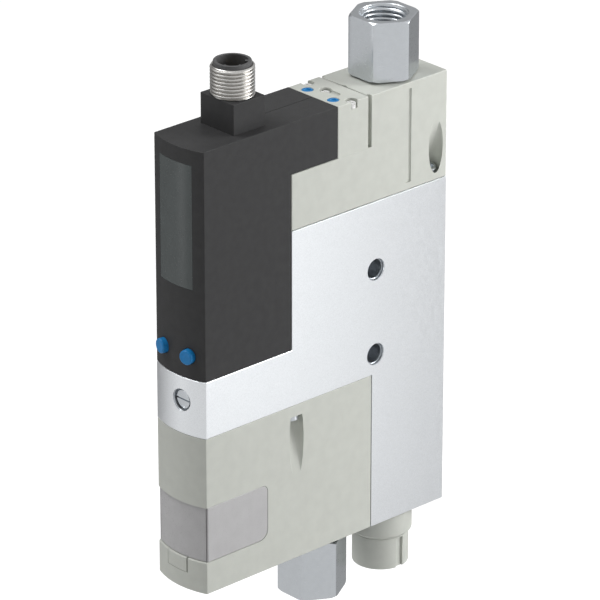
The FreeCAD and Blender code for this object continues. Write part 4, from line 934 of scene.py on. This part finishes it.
carve(throttle, block("driver_slot", slot_x, (SCREW_FACE - OVER, SCREW_FACE + SCREW_SLOT_DEPTH), slot_z))
fit(throttle, "throttle", ["throttle_screw"], zinc_plate)

# Floor
# Pale studio paper well below the unit, which hangs by its mounting holes. The camera sees it lit up,
# and polished metal sees it as a part of the tent.
floor_mesh = bpy.data.meshes.new("floor")
floor_mesh.from_pydata([(-4, -4, -0.2), (4, -4, -0.2), (4, 4, -0.2), (-4, 4, -0.2)], [], [(0, 1, 2, 3)])
floor = added("floor", floor_mesh)
paper = bpy.data.materials.new("pale_paper")
paper.use_nodes = True
tree = paper.node_tree
tree.nodes.clear()


def compass(angle):
    """Level direction, its angle counted from the right hand side of the unit towards its back."""
    return Vector((cos(radians(angle)), sin(radians(angle)), 0))


def lobe(tree, way, angle, ends, levels):
    """Brightness that changes with the angle between a direction and one point of the compass."""
    side = node(tree, "VectorMath", {0: way, 1: compass(angle)}, "DOT_PRODUCT")
    return spread(tree, side.outputs["Value"], ends, levels)


def tent(tree, place, least, most):
    """What polished metal sees: a tent, brighter in front, with a dark flag on the left."""
    front, flag, right = -75, (176, (0.62, 0.98), (1.0, 0.25)), (-17, (0.7, 0.95), (1.0, 1.13))
    way = node(tree, "VectorMath", {0: place}, "NORMALIZE").outputs["Vector"]
    brightness = lobe(tree, way, front, (-1.0, 0.0), (least, most))
    for angle, ends, levels in (flag, right):
        both = {0: brightness, 1: lobe(tree, way, angle, ends, levels)}
        brightness = node(tree, "Math", both, "MULTIPLY").outputs["Value"]
    return brightness


def mixed(tree, part, first, second):
    """Mix of two shaders, the second one for the rays that part picks out."""
    return node(tree, "MixShader", {0: part, 1: first, 2: second}).outputs["Shader"]


rays = node(tree, "LightPath").outputs
place = node(tree, "TexCoord").outputs["Object"]
level = node(tree, "Math", {0: rays["Is Camera Ray"], 1: 0.55}, "MULTIPLY").outputs["Value"]
matt = node(tree, "BsdfDiffuse", {"Color": (0.6, 0.6, 0.6, 1)}).outputs["BSDF"]
glow = node(tree, "Emission", {"Strength": level}).outputs["Emission"]
sheen = node(tree, "Emission", {"Strength": tent(tree, place, 0.27, 0.70)}).outputs["Emission"]
lit = node(tree, "AddShader", {0: matt, 1: glow}).outputs["Shader"]
node(tree, "OutputMaterial", {"Surface": mixed(tree, rays["Is Glossy Ray"], lit, sheen)})
floor.data.materials.append(paper)

# Surroundings
# The camera sees plain white round the unit. Even light comes from all sides, and polished metal sees
# the tent instead.
world = bpy.data.worlds.new("studio")
bpy.context.scene.world = world
world.use_nodes = True
tree = world.node_tree
tree.nodes.clear()
rays = node(tree, "LightPath").outputs
place = node(tree, "TexCoord").outputs["Generated"]
seen = {0: rays["Is Camera Ray"], 1: rays["Is Transmission Ray"]}
seen = node(tree, "Math", seen, "MAXIMUM").outputs["Value"]
around = node(tree, "Background", {"Strength": 0.45}).outputs["Background"]
white = node(tree, "Background").outputs["Background"]
sheen = node(tree, "Background", {"Strength": tent(tree, place, 0.58, 0.85)}).outputs["Background"]
lit = mixed(tree, seen, around, white)
node(tree, "OutputWorld", {"Surface": mixed(tree, rays["Is Glossy Ray"], lit, sheen)})

# Lamps
# A high lamp in front on the left lights the tops and a round one behind on the right the side. Two
# upright strips, one on the right and one in front on the left, draw soft lines on the metal.


def lamp(name, kind, power, place, way):
    """Lamp on a stand at its place, turned so that its light comes from the way that is given."""
    light = bpy.data.lights.new(name, kind)
    light.energy = power
    stand = added(name, light)
    stand.location = place
    stand.rotation_euler = Vector(way).to_track_quat("Z", "Y").to_euler()
    return light


high_lamp = lamp("high_lamp", "SUN", 1.5, (0, 0, 0), (-0.42, -0.3, 0.86))
high_lamp.angle = radians(30)
SIDE_PLACE = (0.36, 0.36, 0.26)
side_lamp = lamp("side_lamp", "AREA", 2.6, SIDE_PLACE, SIDE_PLACE)
side_lamp.shape = "DISK"
side_lamp.size = 0.35
STRIP_WIDTH, STRIP_HEIGHT = 0.1, 0.36
for angle, distance, strength in ((27, 0.26, 0.9), (240, 0.5, 0.6)):
    power = strength * STRIP_WIDTH * STRIP_HEIGHT * pi
    strip_lamp = lamp("strip_lamp", "AREA", power, compass(angle) * distance, compass(angle))
    strip_lamp.shape = "RECTANGLE"
    strip_lamp.size, strip_lamp.size_y = STRIP_WIDTH, STRIP_HEIGHT

# Camera
# Long lens in front on the right and a little above, fitted to the photograph by the unit's corners
# and edges.
CAMERA_PLACE, AIM_POINT = (0.921081, -0.862754, 0.562194), (-0.0038915, -0.0155889, 0.0037447)
FOCAL_LENGTH, SENSOR_WIDTH = 299.77, 36
lens = bpy.data.cameras.new("camera")
lens.lens = FOCAL_LENGTH
lens.sensor_width = SENSOR_WIDTH
lens.clip_start = 0.01
camera = added("camera", lens)
camera.location = CAMERA_PLACE
aim = Vector(AIM_POINT) - Vector(camera.location)
camera.rotation_euler = aim.to_track_quat("-Z", "Y").to_euler()
bpy.context.scene.camera = camera
bpy.context.scene.view_settings.view_transform = "Standard"
